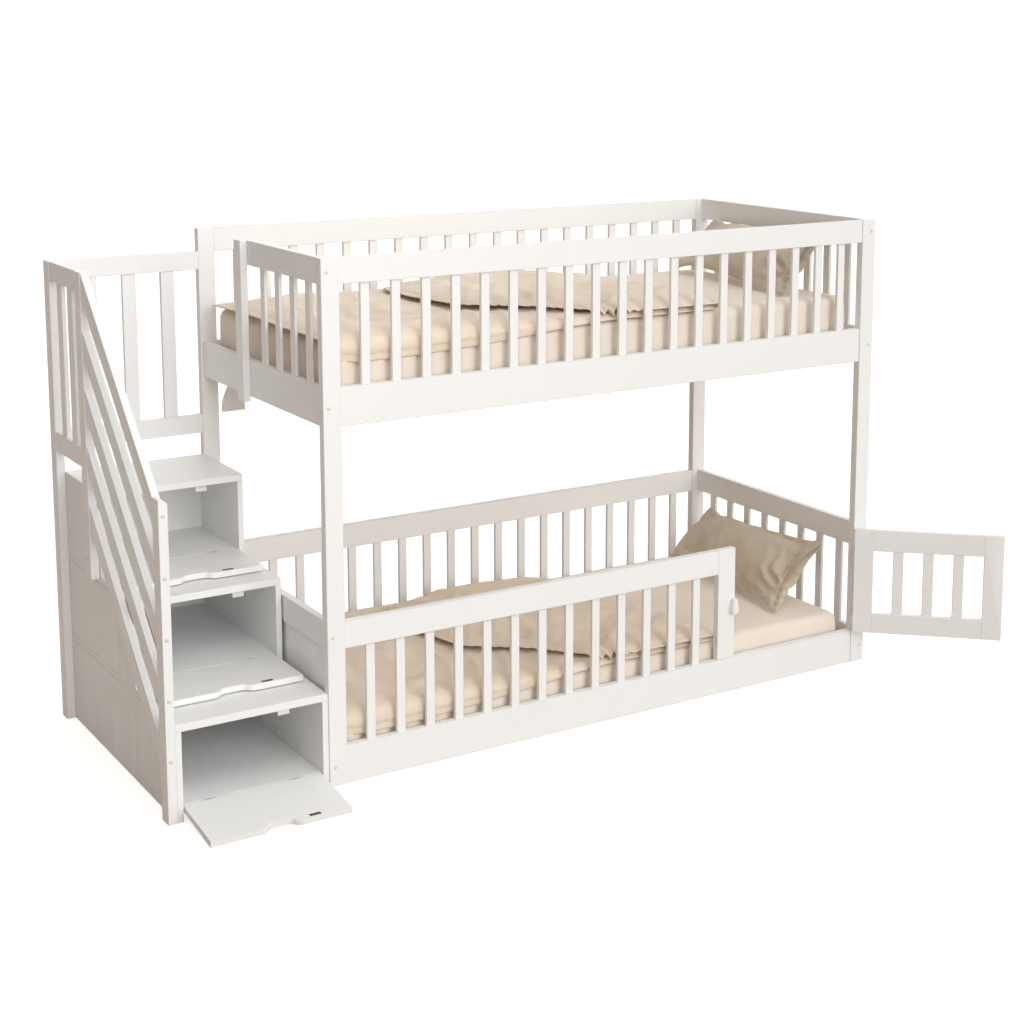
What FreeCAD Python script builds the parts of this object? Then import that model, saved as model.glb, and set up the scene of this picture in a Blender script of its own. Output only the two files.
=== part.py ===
import FreeCAD, Part
import math
import os

# Bunk bed with storage stairs. Two single beds stand one above the other between four posts.
# A stair of three stacked crates climbs along the left end, each crate closed by a drop flap,
# and the lower bed has a small swinging gate. Millimetres, +X along the bed, +Y to the back,
# +Z up. The origin is the middle of the front left post's foot.

V = FreeCAD.Vector
UP = V(0, 0, 1)
ALONG = V(1, 0, 0)
BACK = V(0, 1, 0)

# ---- Driving sizes of the bed ----
BED_LENGTH = 2060.0
BED_WIDTH = 960.0
BED_HEIGHT = 1554.0
POST_X = 57.0
POST_Y = 28.5
RAIL_T = 24.0               # thickness of every rail of the bed
SIDE_SETBACK = 3.0          # long rails lie this far behind the posts' front face
END_SETBACK = 6.0           # end rails lie this far behind the posts' outer face
EASE = 1.5                  # small flat taken off long edges

UPPER_RAIL_BOTTOM = 1070.0
UPPER_RAIL_TOP = 1184.0
UPPER_GUARD_H = 76.0
LOWER_RAIL_TOP = 117.0
LOWER_GUARD_BOTTOM = 411.0
LOWER_GUARD_TOP = 494.0
SLAT_W = 30.0
SLAT_T = 12.0
SIDE_SLAT_GAP = 72.0        # widest gap allowed between the slats of a long guard
END_SLAT_GAP = 76.0         # the same for the guard at the right end
ENTRY_SLAT_GAP = 96.0       # the wider gap in the short guard beside the entry

# ---- Entry to the upper bed ----
ENTRY_POST_W = 50.0
ENTRY_POST_T = 24.0
ENTRY_WIDTH = 345.0         # from the entry post to the back post
ENTRY_POST_DROP = 15.0      # the entry post reaches this far below the end rail

# ---- Decks ----
DECK_SLAT_W = 70.0
DECK_SLAT_T = 15.0
DECK_SLAT_COUNT = 13
LOWER_DECK_TOP = 27.0
UPPER_DECK_TOP = 1145.0
LOWER_LEDGER_H = 12.0
UPPER_LEDGER_H = 30.0
LEDGER_W = 20.0

# ---- Gate ----
GATE_WIDTH = 502.0
GATE_T = 18.0
GATE_TOP = 488.0
GATE_FLOOR_GAP = 3.0
GATE_STILE_W = 66.0
GATE_TOP_RAIL_H = 75.0
GATE_BOTTOM_RAIL_H = 70.0
GATE_SLAT_W = 35.0
GATE_SLAT_COUNT = 3
GATE_SLAT_T = 10.0
GATE_HINGE_GAP = 2.0        # between the gate's edge and the post
GATE_OPEN_DEG = 137.4       # how far the gate stands open
GATE_OPENING = 516.0        # from the gate stop post to the front right post
STOP_POST_W = 70.0

# ---- Butt hinges of the gate ----
HINGE_R = 4.0
HINGE_PIN_R = 2.0
HINGE_CLEAR = 0.06          # radial clearance of a pin in its knuckles
HINGE_LEAF_T = 1.2
GATE_HINGE_H = 60.0
GATE_HINGE_LEAF_W = 20.0
GATE_HINGE_INSET = 41.0     # from the gate's end to the middle of a hinge
KNUCKLE_GAP = 0.4
KNUCKLES = 3

# ---- Turn latch ----
LATCH_PIVOT_IN = 8.0       # pivot to the right edge of the gate stop post
LATCH_Z = 290.0
LATCH_BASE_T = 6.0
LATCH_LEVER_T = 9.0
LATCH_LEVER_W = 26.0
LATCH_REACH = 34.0
LATCH_TAIL = 20.0
LATCH_TIP_SHARE = 0.32      # half width of the lever's narrow tip, as a share of its width
LATCH_BASE_RIM = 4.0        # the base stands out this far round the lever's broad end
LATCH_PIN_R = 4.0
LATCH_GAP = 0.4
LATCH_HEAD_R = 8.0          # round head that holds the lever on its stud
LATCH_HEAD_T = 2.0

# ---- Stairs ----
STAIR_WIDTH = 463.5         # crates, between the stair posts and the bed
STAIR_POST_T = 28.5
STAIR_POST_W = 50.0
STEP_RISE = 263.0           # height of one crate
BASE_H = 23.0               # the lowest floor board lies this far above the ground
BOARD_T = 22.0
PANEL_T = 18.0
BACK_PANEL_T = 8.0
STAIR_BACK = 932.0          # from the bed's front plane to the crates' back
STEP_FRONTS = (5.0, 325.0, 606.0)
NEWEL_TOP = 930.0
NEWEL_FRONT = 3.0
NEWEL_CLIP = 14.0
STAIR_POST_TOP = 1481.0
MIDDLE_POST_FRONT = 615.0
MIDDLE_POST_LAP = 4.0       # this post reaches this far below the top of the second tread
REAR_POST_FRONT = 922.0
STAIR_RAIL_T = 22.0
STAIR_GUARD_TOP_H = 60.0
STAIR_GUARD_BOTTOM = 882.0
STAIR_GUARD_BOTTOM_H = 62.0
STAIR_SLAT_W = 45.0
STAIR_SLAT_T = 14.0
SIDE_SLAT_COUNT = 2
BACK_SLAT_COUNT = 3
HANDRAIL_COUNT = 5
HANDRAIL_PITCH = 175.0      # measured straight down
HANDRAIL_W = 57.0           # measured square to the slope
HANDRAIL_LOW_TOP = 925.0    # upper edge of the top handrail where it meets the newel

# ---- Drop flaps of the crates ----
FLAP_T = 18.0
FLAP_LENGTH = 208.0
FLAP_SIDE_GAP = 2.5
FLAP_SCOOP_W = 122.0
FLAP_SCOOP_D = 20.0
FLAP_SCOOP_RUN = 38.0       # length of the S curve at each end of the scoop
FLAP_HINGE_R = 2.2
FLAP_PIN_R = 1.0
FLAP_SEAM = 5.0             # between the flap's edge and the floor board
FLAP_HINGE_LEN = 45.0
FLAP_HINGE_INSET = 55.0
FLAP_LEAF_H = 14.0
FLAP_LEAF_T = 1.0
FLAP_DROP_GAP = 0.5         # the lowest flap's free edge over the ground
STRIKE_X = 296.0            # strike plate and catch, from the flap's left edge
STRIKE_L = 34.0
STRIKE_W = 10.0
STRIKE_T = 1.2
STRIKE_IN = 5.0
CATCH_L = 36.0
CATCH_D = 14.0
CATCH_H = 22.0
CATCH_CLEAR = 1.0

# ---- Fixings and gusset ----
CAP_R = 6.5
CAP_H = 2.4
CAP_FLATS = 16              # flats round the rim of a cap
MIDDLE_CAP_RISES = (60.0, 175.0)    # caps on the middle post, over the second tread
GUSSET_T = 10.0
GUSSET_LEFT = 65.0
GUSSET_RIGHT = 145.0
GUSSET_BOTTOM = 945.0
GUSSET_LAP = 30.0
GUSSET_SHOULDER = 62.0

# ---- Bedding ----
MATTRESS_H = 150.0
MATTRESS_LEFT = 50.0        # from the bed's left end
MATTRESS_RIGHT = 110.0      # from the bed's right end
MATTRESS_PLAY = 7.5         # to the posts at the front and at the back
MATTRESS_CORNER = 60.0
MATTRESS_RINGS = (          # share of the height, and how far the outline is drawn in there
    (0.0, 14.0), (0.10, 4.0), (0.45, 0.0), (0.72, 4.0), (0.88, 15.0), (0.96, 36.0), (1.0, 100.0),
)
SOFT_CLEAR = 0.3
DUVET_LEFT = 32.5           # from the bed's left end
DUVET_L = 1386.0            # along the front, to the fold at the foot end
DUVET_FRONT = 23.25         # from the bed's front plane
DUVET_BACK = 57.75          # from the bed's back plane
DUVET_SKEW = 206.0          # the fold's back end lies this far short of its front end
DUVET_STATIONS = (0.0, 0.06, 0.21, 0.36, 0.60, 0.79, 0.90, 1.0)     # shares of the width
DUVET_HEM = (0.695, 0.648, 0.56, 0.427, 0.387, 0.401, 0.408, 0.412)     # hem of the part turned back
DUVET_LIP = (               # run from the front edge, and share of the drop, round the hanging edge
    (50.0, 0.0), (22.0, 0.45), (10.0, 1.0), (2.0, 1.0),
)
DUVET_ROLL = 6.0            # how far the front edge stands proud of the hem and of the upper side
DUVET_LINES = (             # reach, inset of the front, drop of the front hem, heights at the stations
    (0.000, 7.5, 8, (10, 16, 22, 20, 24, 22, 18, 12)),
    (0.030, 6.5, 24, (14, 26, 32, 30, 34, 32, 28, 16)),
    (0.100, 0.0, 32, (18, 34, 38, 36, 44, 38, 32, 18)),
    (0.300, 0.0, 28, (16, 30, 40, 34, 40, 42, 34, 18)),
    (0.550, 0.0, 18, (16, 34, 36, 42, 36, 38, 32, 18)),
    (0.800, 0.0, 4, (14, 28, 36, 34, 42, 34, 30, 16)),
    (0.985, 0.0, 0, (10, 18, 24, 24, 28, 26, 24, 14)),
    (1.000, 0.0, 0, (22, 40, 46, 46, 50, 46, 42, 26)),
    (1.120, 0.0, 0, (26, 48, 56, 54, 58, 54, 50, 30)),
    (1.400, 0.0, 0, (24, 46, 52, 60, 54, 58, 50, 28)),
    (1.750, 0.0, 0, (24, 50, 60, 54, 62, 56, 50, 28)),
    (1.930, 4.0, 0, (22, 44, 54, 56, 54, 50, 44, 26)),
    (2.000, 6.5, 0, (12, 20, 26, 26, 26, 24, 20, 12)),
)
PILLOW_L = 680.0
PILLOW_W = 310.0
PILLOW_T = 140.0
PILLOW_TURN_DEG = 90.0      # the pillow's length lies across the bed
PILLOW_LEAN_DEG = 42.0
PILLOW_BACK_GAP = 5.0       # between the pillow and the end rail's inner face
PILLOW_SIDE_STEPS = 8       # straight runs along each side of a pillow's outline
PILLOW_LEVELS = (           # share of the thickness, size of the outline, pull of its sides
    (-0.5, 0.46, -10), (-0.45, 0.64, -4), (-0.34, 0.80, 4), (-0.18, 0.92, 11), (0.0, 1.0, 16),
    (0.18, 0.92, 11), (0.34, 0.80, 4), (0.45, 0.64, -4), (0.5, 0.46, -10),
)

# ---- Planes worked out from the driving sizes ----
X_LEFT = -POST_X / 2
X_RIGHT = X_LEFT + BED_LENGTH
Y_FRONT = -POST_Y / 2
Y_BACK = Y_FRONT + BED_WIDTH
X_IN_LEFT = X_LEFT + POST_X
X_IN_RIGHT = X_RIGHT - POST_X
Y_IN_FRONT = Y_FRONT + POST_Y
Y_IN_BACK = Y_BACK - POST_Y
FRONT_RAIL_Y = (Y_FRONT + SIDE_SETBACK, Y_FRONT + SIDE_SETBACK + RAIL_T)
BACK_RAIL_Y = (Y_BACK - SIDE_SETBACK - RAIL_T, Y_BACK - SIDE_SETBACK)
LEFT_RAIL_X = (X_LEFT + END_SETBACK, X_LEFT + END_SETBACK + RAIL_T)
RIGHT_RAIL_X = (X_RIGHT - END_SETBACK - RAIL_T, X_RIGHT - END_SETBACK)
TOP_RAIL_Z = (BED_HEIGHT - UPPER_GUARD_H, BED_HEIGHT)
STAIR_LEFT = X_LEFT - STAIR_WIDTH
STAIR_POST_X = (STAIR_LEFT - STAIR_POST_T, STAIR_LEFT)
CRATE_BACK = Y_FRONT + STAIR_BACK
STOP_POST_X = (X_IN_RIGHT - GATE_OPENING - STOP_POST_W, X_IN_RIGHT - GATE_OPENING)
ENTRY_POST_Y = (Y_IN_BACK - ENTRY_WIDTH - ENTRY_POST_W, Y_IN_BACK - ENTRY_WIDTH)

nodes = {}


def box(x, y, z):
    """A plain block between pairs of planes."""
    return Part.makeBox(x[1] - x[0], y[1] - y[0], z[1] - z[0], V(x[0], y[0], z[0]))


def bar(x, y, z, ease=EASE):
    """A length of planed wood: a block whose four long edges have a small flat."""
    spans = [x[1] - x[0], y[1] - y[0], z[1] - z[0]]
    run = spans.index(max(spans))
    low = [x[0], y[0], z[0]]
    high = [x[1], y[1], z[1]]
    a, b = [i for i in range(3) if i != run]
    section = [
        (low[a] + ease, low[b]), (high[a] - ease, low[b]),
        (high[a], low[b] + ease), (high[a], high[b] - ease),
        (high[a] - ease, high[b]), (low[a] + ease, high[b]),
        (low[a], high[b] - ease), (low[a], low[b] + ease),
    ]
    points = []
    for u, v in section:
        at = [0.0, 0.0, 0.0]
        at[run], at[a], at[b] = low[run], u, v
        points.append(V(*at))
    face = Part.Face(Part.makePolygon(points + points[:1]))
    push = [0.0, 0.0, 0.0]
    push[run] = spans[run]
    return face.extrude(V(*push))


def centred(middle, size):
    """The pair of planes of a size about a middle."""
    return (middle - size / 2, middle + size / 2)


def spread(low, high, width, count):
    """Even places for a count of slats between two planes, with equal gaps."""
    gap = (high - low - width * count) / (count + 1)
    return [low + gap + i * (width + gap) for i in range(count)]


def count_for(low, high, width, gap_max):
    """The fewest slats that leave no gap wider than the largest one allowed."""
    return math.ceil((high - low - gap_max) / (width + gap_max))


def keep(name, *solids):
    """Store a sub-part, as one solid or as a group of separate ones."""
    nodes[name] = solids[0] if len(solids) == 1 else Part.makeCompound(list(solids))


# ---- Posts ----
def make_posts():
    for side, x in (("left", X_LEFT), ("right", X_IN_RIGHT)):
        for end, y in (("front", Y_FRONT), ("back", Y_IN_BACK)):
            keep("post_%s_%s" % (end, side), bar((x, x + POST_X), (y, y + POST_Y), (0, BED_HEIGHT)))
    x = (LEFT_RAIL_X[0] - ENTRY_POST_T, LEFT_RAIL_X[0])
    keep("entry_post", bar(x, ENTRY_POST_Y, (UPPER_RAIL_BOTTOM - ENTRY_POST_DROP, BED_HEIGHT)))
    keep("gate_stop_post", bar(STOP_POST_X, FRONT_RAIL_Y, (LOWER_RAIL_TOP, LOWER_GUARD_TOP)))


# ---- Rails that carry the beds, and the guard rails over them ----
def make_rails():
    long_x = (X_IN_LEFT, X_IN_RIGHT)
    end_y = (Y_IN_FRONT, Y_IN_BACK)
    levels = (("lower", (0, LOWER_RAIL_TOP)), ("upper", (UPPER_RAIL_BOTTOM, UPPER_RAIL_TOP)))
    for level, z in levels:
        keep(level + "_side_rails", bar(long_x, FRONT_RAIL_Y, z), bar(long_x, BACK_RAIL_Y, z))
        keep(level + "_end_rails", bar(LEFT_RAIL_X, end_y, z), bar(RIGHT_RAIL_X, end_y, z))
    low_z = (LOWER_GUARD_BOTTOM, LOWER_GUARD_TOP)
    keep("lower_front_guard_rail", bar((X_IN_LEFT, STOP_POST_X[0]), FRONT_RAIL_Y, low_z))
    keep("lower_back_guard_rail", bar(long_x, BACK_RAIL_Y, low_z))
    keep("lower_end_guard_rails", *[bar(x, end_y, low_z) for x in (LEFT_RAIL_X, RIGHT_RAIL_X)])
    keep("upper_side_guard_rails", *[bar(long_x, y, TOP_RAIL_Z) for y in (FRONT_RAIL_Y, BACK_RAIL_Y)])
    entry_side = bar(LEFT_RAIL_X, (Y_IN_FRONT, ENTRY_POST_Y[1]), TOP_RAIL_Z)
    keep("upper_end_guard_rails", entry_side, bar(RIGHT_RAIL_X, end_y, TOP_RAIL_Z))


# ---- Guard slats, standing between a bed rail and its guard rail ----
def slats_along(x, rail_y, z):
    y = centred(sum(rail_y) / 2, SLAT_T)
    count = count_for(x[0], x[1], SLAT_W, SIDE_SLAT_GAP)
    return [bar((at, at + SLAT_W), y, z) for at in spread(x[0], x[1], SLAT_W, count)]


def slats_across(y, rail_x, z, gap_max):
    x = centred(sum(rail_x) / 2, SLAT_T)
    count = count_for(y[0], y[1], SLAT_W, gap_max)
    return [bar(x, (at, at + SLAT_W), z) for at in spread(y[0], y[1], SLAT_W, count)]


def make_guard_slats():
    low_z = (LOWER_RAIL_TOP, LOWER_GUARD_BOTTOM)
    high_z = (UPPER_RAIL_TOP, TOP_RAIL_Z[0])
    long_x = (X_IN_LEFT, X_IN_RIGHT)
    end_y = (Y_IN_FRONT, Y_IN_BACK)
    keep("lower_front_guard_slats", *slats_along((X_IN_LEFT, STOP_POST_X[0]), FRONT_RAIL_Y, low_z))
    keep("lower_back_guard_slats", *slats_along(long_x, BACK_RAIL_Y, low_z))
    keep("upper_front_guard_slats", *slats_along(long_x, FRONT_RAIL_Y, high_z))
    keep("upper_back_guard_slats", *slats_along(long_x, BACK_RAIL_Y, high_z))
    right = slats_across(end_y, RIGHT_RAIL_X, low_z, END_SLAT_GAP)
    right += slats_across(end_y, RIGHT_RAIL_X, high_z, END_SLAT_GAP)
    keep("right_guard_slats", *right)
    entry_y = (Y_IN_FRONT, ENTRY_POST_Y[0])
    keep("upper_left_guard_slats", *slats_across(entry_y, LEFT_RAIL_X, high_z, ENTRY_SLAT_GAP))
    panel_x = centred(sum(LEFT_RAIL_X) / 2, SLAT_T)
    keep("lower_left_panel", box(panel_x, end_y, low_z))


# ---- Decks: ledgers along the long rails carry loose slats ----
def make_decks():
    ledgers = []
    slats = []
    ledger_x = (X_IN_LEFT, X_IN_RIGHT)
    front_y = (FRONT_RAIL_Y[1], FRONT_RAIL_Y[1] + LEDGER_W)
    back_y = (BACK_RAIL_Y[0] - LEDGER_W, BACK_RAIL_Y[0])
    for top, ledger_h in ((LOWER_DECK_TOP, LOWER_LEDGER_H), (UPPER_DECK_TOP, UPPER_LEDGER_H)):
        under = top - DECK_SLAT_T
        ledgers += [bar(ledger_x, y, (under - ledger_h, under)) for y in (front_y, back_y)]
        for at in spread(X_IN_LEFT, X_IN_RIGHT, DECK_SLAT_W, DECK_SLAT_COUNT):
            slats.append(bar((at, at + DECK_SLAT_W), (FRONT_RAIL_Y[1], BACK_RAIL_Y[0]), (under, top)))
    keep("deck_ledgers", *ledgers)
    keep("deck_slats", *slats)


# ---- Gusset under the upper deck, a quarter round board on the back rail ----
def make_gusset():
    left = X_LEFT + GUSSET_LEFT
    right = X_LEFT + GUSSET_RIGHT
    y = BACK_RAIL_Y[0] - GUSSET_T
    top = UPPER_RAIL_BOTTOM + GUSSET_LAP
    low = V(left, y, GUSSET_BOTTOM)
    rise = UPPER_RAIL_BOTTOM - GUSSET_BOTTOM
    shoulder = V(left + GUSSET_SHOULDER, y, UPPER_RAIL_BOTTOM)
    radius = (GUSSET_SHOULDER ** 2 + rise ** 2) / (2 * GUSSET_SHOULDER)
    half_turn = math.asin(rise / radius) / 2
    middle = V(left + radius * (1 - math.cos(half_turn)), y, GUSSET_BOTTOM + radius * math.sin(half_turn))
    corners = [shoulder, V(shoulder.x, y, top), V(right, y, top), V(right, y, GUSSET_BOTTOM), low]
    edges = [Part.Arc(low, middle, shoulder).toShape()]
    edges += [Part.makeLine(a, b) for a, b in zip(corners, corners[1:])]
    keep("gusset_board", Part.Face(Part.Wire(edges)).extrude(V(0, GUSSET_T, 0)))


# ---- Stair crates: sides, back, floor board and tread of each step ----
def crate_planes(step):
    """Front plane, underside of the crate, top of its floor board and top of its tread."""
    front = Y_FRONT + STEP_FRONTS[step]
    low = BASE_H + step * STEP_RISE
    return front, low, low + BOARD_T, low + STEP_RISE


def seam_y(step):
    """Middle of the seam between a flap's edge and the floor board, where the hinge turns."""
    return crate_planes(step)[0] + FLAP_T - FLAP_HINGE_R


def make_crates():
    backs = []
    floors = []
    treads = []
    for step in range(len(STEP_FRONTS)):
        front, low, floor_top, top = crate_planes(step)
        depth = (front, CRATE_BACK)
        under = top - BOARD_T
        side_low = 0.0 if step == 0 else low
        left = box((STAIR_LEFT, STAIR_LEFT + PANEL_T), depth, (side_low, under))
        right = box((X_LEFT - PANEL_T, X_LEFT), depth, (side_low, under))
        inner_x = (STAIR_LEFT + PANEL_T, X_LEFT - PANEL_T)
        floor_y = (seam_y(step) + FLAP_SEAM / 2, CRATE_BACK - BACK_PANEL_T)
        keep("crate_%d_sides" % (step + 1), left, right)
        backs.append(box(inner_x, (CRATE_BACK - BACK_PANEL_T, CRATE_BACK), (low, under)))
        floors.append(box(inner_x, floor_y, (low, floor_top)))
        treads.append(bar((STAIR_LEFT, X_LEFT), depth, (under, top)))
    keep("crate_backs", *backs)
    keep("crate_floors", *floors)
    keep("treads", *treads)


# ---- Drop flaps with a finger scoop in the free edge ----
def ease_curve(a, b):
    """Two tangent arcs from one point to another, level along X at both ends."""
    dx = (b.x - a.x) / 2
    dy = (b.y - a.y) / 2
    radius = (dx * dx + dy * dy) / (2 * abs(dy))
    half_turn = math.asin(abs(dx) / radius) / 2
    step = V(radius * math.sin(half_turn), math.copysign(radius * (1 - math.cos(half_turn)), dy), 0)
    middle = (a + b) * 0.5
    return [Part.Arc(a, a + step, middle).toShape(), Part.Arc(middle, b - step, b).toShape()]


def flap_width():
    return (STAIR_LEFT + PANEL_T + FLAP_SIDE_GAP, X_LEFT - PANEL_T - FLAP_SIDE_GAP)


def flat_flap(step):
    """A flap lying level, its upper face flush with the floor board."""
    x = flap_width()
    top = crate_planes(step)[2]
    rear = seam_y(step) - FLAP_SEAM / 2
    free = rear - FLAP_LENGTH
    z = top - FLAP_T
    deep = free + FLAP_SCOOP_D
    mouth = [V(at, free, z) for at in centred(sum(x) / 2, FLAP_SCOOP_W)]
    floor = [V(at, deep, z) for at in centred(sum(x) / 2, FLAP_SCOOP_W - 2 * FLAP_SCOOP_RUN)]
    corners = [mouth[1], V(x[1], free, z), V(x[1], rear, z), V(x[0], rear, z), V(x[0], free, z), mouth[0]]
    edges = ease_curve(mouth[0], floor[0]) + [Part.makeLine(*floor)] + ease_curve(floor[1], mouth[1])
    edges += [Part.makeLine(a, b) for a, b in zip(corners, corners[1:])]
    return Part.Face(Part.Wire(edges)).extrude(V(0, 0, FLAP_T))


def hinge_axis_z(step):
    return crate_planes(step)[2] - FLAP_HINGE_R


def knuckle_runs(low, high, fixed):
    """The stretches of a hinge axis that one leaf's knuckles take, outer ones for the fixed leaf."""
    length = (high - low - KNUCKLE_GAP * (KNUCKLES - 1)) / KNUCKLES
    starts = [low + i * (length + KNUCKLE_GAP) for i in range(KNUCKLES)]
    chosen = starts[0::2] if fixed else starts[1::2]
    return [(at, at + length) for at in chosen]


def pin_runs(low, high):
    """The stretches where a pin shows: it is pressed into the fixed knuckles on either side."""
    return [(run[0] - KNUCKLE_GAP, run[1] + KNUCKLE_GAP) for run in knuckle_runs(low, high, False)]


def flap_hinge_leaf(step, x, fixed):
    """One leaf of a small butt hinge let in between the flap's edge and the floor board."""
    y = seam_y(step)
    z = hinge_axis_z(step)
    face = FLAP_SEAM / 2
    leaf_y = (y + face - FLAP_LEAF_T, y + face) if fixed else (y - face, y - face + FLAP_LEAF_T)
    shoulder = z - FLAP_LEAF_T - FLAP_HINGE_R
    leaf = box(x, leaf_y, (z - FLAP_LEAF_H, shoulder))
    for run in knuckle_runs(x[0], x[1], fixed):
        knuckle = Part.makeCylinder(FLAP_HINGE_R, run[1] - run[0], V(run[0], y, z), ALONG)
        leaf = leaf.fuse(box(run, leaf_y, (shoulder, z))).fuse(knuckle)
    if not fixed:
        leaf = leaf.cut(Part.makeCylinder(FLAP_PIN_R + HINGE_CLEAR, x[1] - x[0], V(x[0], y, z), ALONG))
    return leaf.removeSplitter()


def drop_angle():
    """How far below level the lowest flap comes to rest, its free edge on the ground."""
    z = hinge_axis_z(0)
    arm = FLAP_LENGTH + FLAP_SEAM / 2
    under = FLAP_T - FLAP_HINGE_R
    reach = math.hypot(arm, under)
    return math.degrees(math.asin((z - FLAP_DROP_GAP) / reach) - math.atan2(under, arm))


def make_flaps():
    x = flap_width()
    fixed_leaves = []
    pins = []
    catches = []
    for step in range(len(STEP_FRONTS)):
        name = "flap_%d" % (step + 1)
        y = seam_y(step)
        z = hinge_axis_z(step)
        flap = flat_flap(step)
        spans = []
        for start in (x[0] + FLAP_HINGE_INSET, x[1] - FLAP_HINGE_INSET - FLAP_HINGE_LEN):
            spans.append((start, start + FLAP_HINGE_LEN))
        leaves = [flap_hinge_leaf(step, span, False) for span in spans]
        fixed_leaves += [flap_hinge_leaf(step, span, True) for span in spans]
        for low, high in [run for span in spans for run in pin_runs(*span)]:
            pins.append(Part.makeCylinder(FLAP_PIN_R, high - low, V(low, y, z), ALONG))
        free = y - FLAP_SEAM / 2 - FLAP_LENGTH
        strike_x = (x[0] + STRIKE_X, x[0] + STRIKE_X + STRIKE_L)
        strike_y = (free + STRIKE_IN, free + STRIKE_IN + STRIKE_W)
        top = crate_planes(step)[2]
        strike = box(strike_x, strike_y, (top, top + STRIKE_T))
        hardware = leaves + [strike]
        if step == 0:
            for shape in hardware + [flap]:
                shape.rotate(V(0, y, z), ALONG, drop_angle())
        keep(name, flap)
        keep(name + "_hardware", *hardware)
        under = crate_planes(step)[3] - BOARD_T
        catch_x = centred(sum(strike_x) / 2, CATCH_L)
        catch_y0 = y + FLAP_HINGE_R + STRIKE_T + CATCH_CLEAR
        catches.append(bar(catch_x, (catch_y0, catch_y0 + CATCH_D), (under - CATCH_H, under)))
    keep("flap_hinge_floor_leaves", *fixed_leaves)
    keep("flap_hinge_pins", *pins)
    keep("magnet_catches", *catches)


# ---- Stair posts, guards and handrails ----
def make_stair_posts():
    x = STAIR_POST_X
    rear_y = Y_FRONT + REAR_POST_FRONT
    middle_y = Y_FRONT + MIDDLE_POST_FRONT
    newel_y = Y_FRONT + NEWEL_FRONT
    keep("stair_rear_post", bar(x, (rear_y, rear_y + STAIR_POST_W), (0, STAIR_POST_TOP)))
    middle_z = (crate_planes(1)[3] - MIDDLE_POST_LAP, STAIR_POST_TOP)
    keep("stair_middle_post", bar(x, (middle_y, middle_y + STAIR_POST_W), middle_z))
    newel = bar(x, (newel_y, newel_y + STAIR_POST_W), (0, NEWEL_TOP))
    corner = [
        V(x[1], newel_y, NEWEL_TOP - NEWEL_CLIP), V(x[1], newel_y, NEWEL_TOP),
        V(x[1] - NEWEL_CLIP, newel_y, NEWEL_TOP),
    ]
    clip = Part.Face(Part.makePolygon(corner + corner[:1])).extrude(V(0, STAIR_POST_W, 0))
    keep("newel_post", newel.cut(clip))


def make_stair_guards():
    x = centred(sum(STAIR_POST_X) / 2, STAIR_RAIL_T)
    side_y = (Y_FRONT + MIDDLE_POST_FRONT + STAIR_POST_W, Y_FRONT + REAR_POST_FRONT)
    top_z = (STAIR_POST_TOP - STAIR_GUARD_TOP_H, STAIR_POST_TOP)
    low_z = (STAIR_GUARD_BOTTOM, STAIR_GUARD_BOTTOM + STAIR_GUARD_BOTTOM_H)
    slat_z = (low_z[1], top_z[0])
    back_x = (STAIR_LEFT, X_LEFT)
    back_y = (CRATE_BACK, CRATE_BACK + STAIR_RAIL_T)
    rails = [bar(x, side_y, z) for z in (top_z, low_z)] + [bar(back_x, back_y, z) for z in (top_z, low_z)]
    keep("stair_guard_rails", *rails)
    slat_x = centred(sum(x) / 2, STAIR_SLAT_T)
    slat_y = centred(sum(back_y) / 2, STAIR_SLAT_T)
    slats = []
    for at in spread(side_y[0], side_y[1], STAIR_SLAT_W, SIDE_SLAT_COUNT):
        slats.append(bar(slat_x, (at, at + STAIR_SLAT_W), slat_z))
    for at in spread(back_x[0], back_x[1], STAIR_SLAT_W, BACK_SLAT_COUNT):
        slats.append(bar((at, at + STAIR_SLAT_W), slat_y, slat_z))
    keep("stair_guard_slats", *slats)


def make_handrails():
    """Parallel sloping rails, each cut upright where it butts against a post."""
    x = centred(sum(STAIR_POST_X) / 2, STAIR_RAIL_T)
    y0 = Y_FRONT + NEWEL_FRONT + STAIR_POST_W
    y1 = Y_FRONT + MIDDLE_POST_FRONT
    rise = STAIR_POST_TOP - HANDRAIL_LOW_TOP
    upright = HANDRAIL_W * math.hypot(1, rise / (y1 - y0))
    rails = []
    for i in range(HANDRAIL_COUNT):
        low = HANDRAIL_LOW_TOP - i * HANDRAIL_PITCH
        high = low + rise
        outline = [V(x[0], y0, low), V(x[0], y1, high), V(x[0], y1, high - upright)]
        outline.append(V(x[0], y0, low - upright))
        rails.append(Part.Face(Part.makePolygon(outline + outline[:1])).extrude(V(STAIR_RAIL_T, 0, 0)))
    keep("handrails", *rails)


# ---- Gate, made closed and then swung open about its hinge pins ----
def gate_axis():
    return X_IN_RIGHT - GATE_HINGE_GAP / 2, Y_FRONT - HINGE_R


def gate_hinge_spans():
    low = LOWER_RAIL_TOP + GATE_FLOOR_GAP
    middles = (low + GATE_HINGE_INSET, GATE_TOP - GATE_HINGE_INSET)
    return [centred(m, GATE_HINGE_H) for m in middles]


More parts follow.
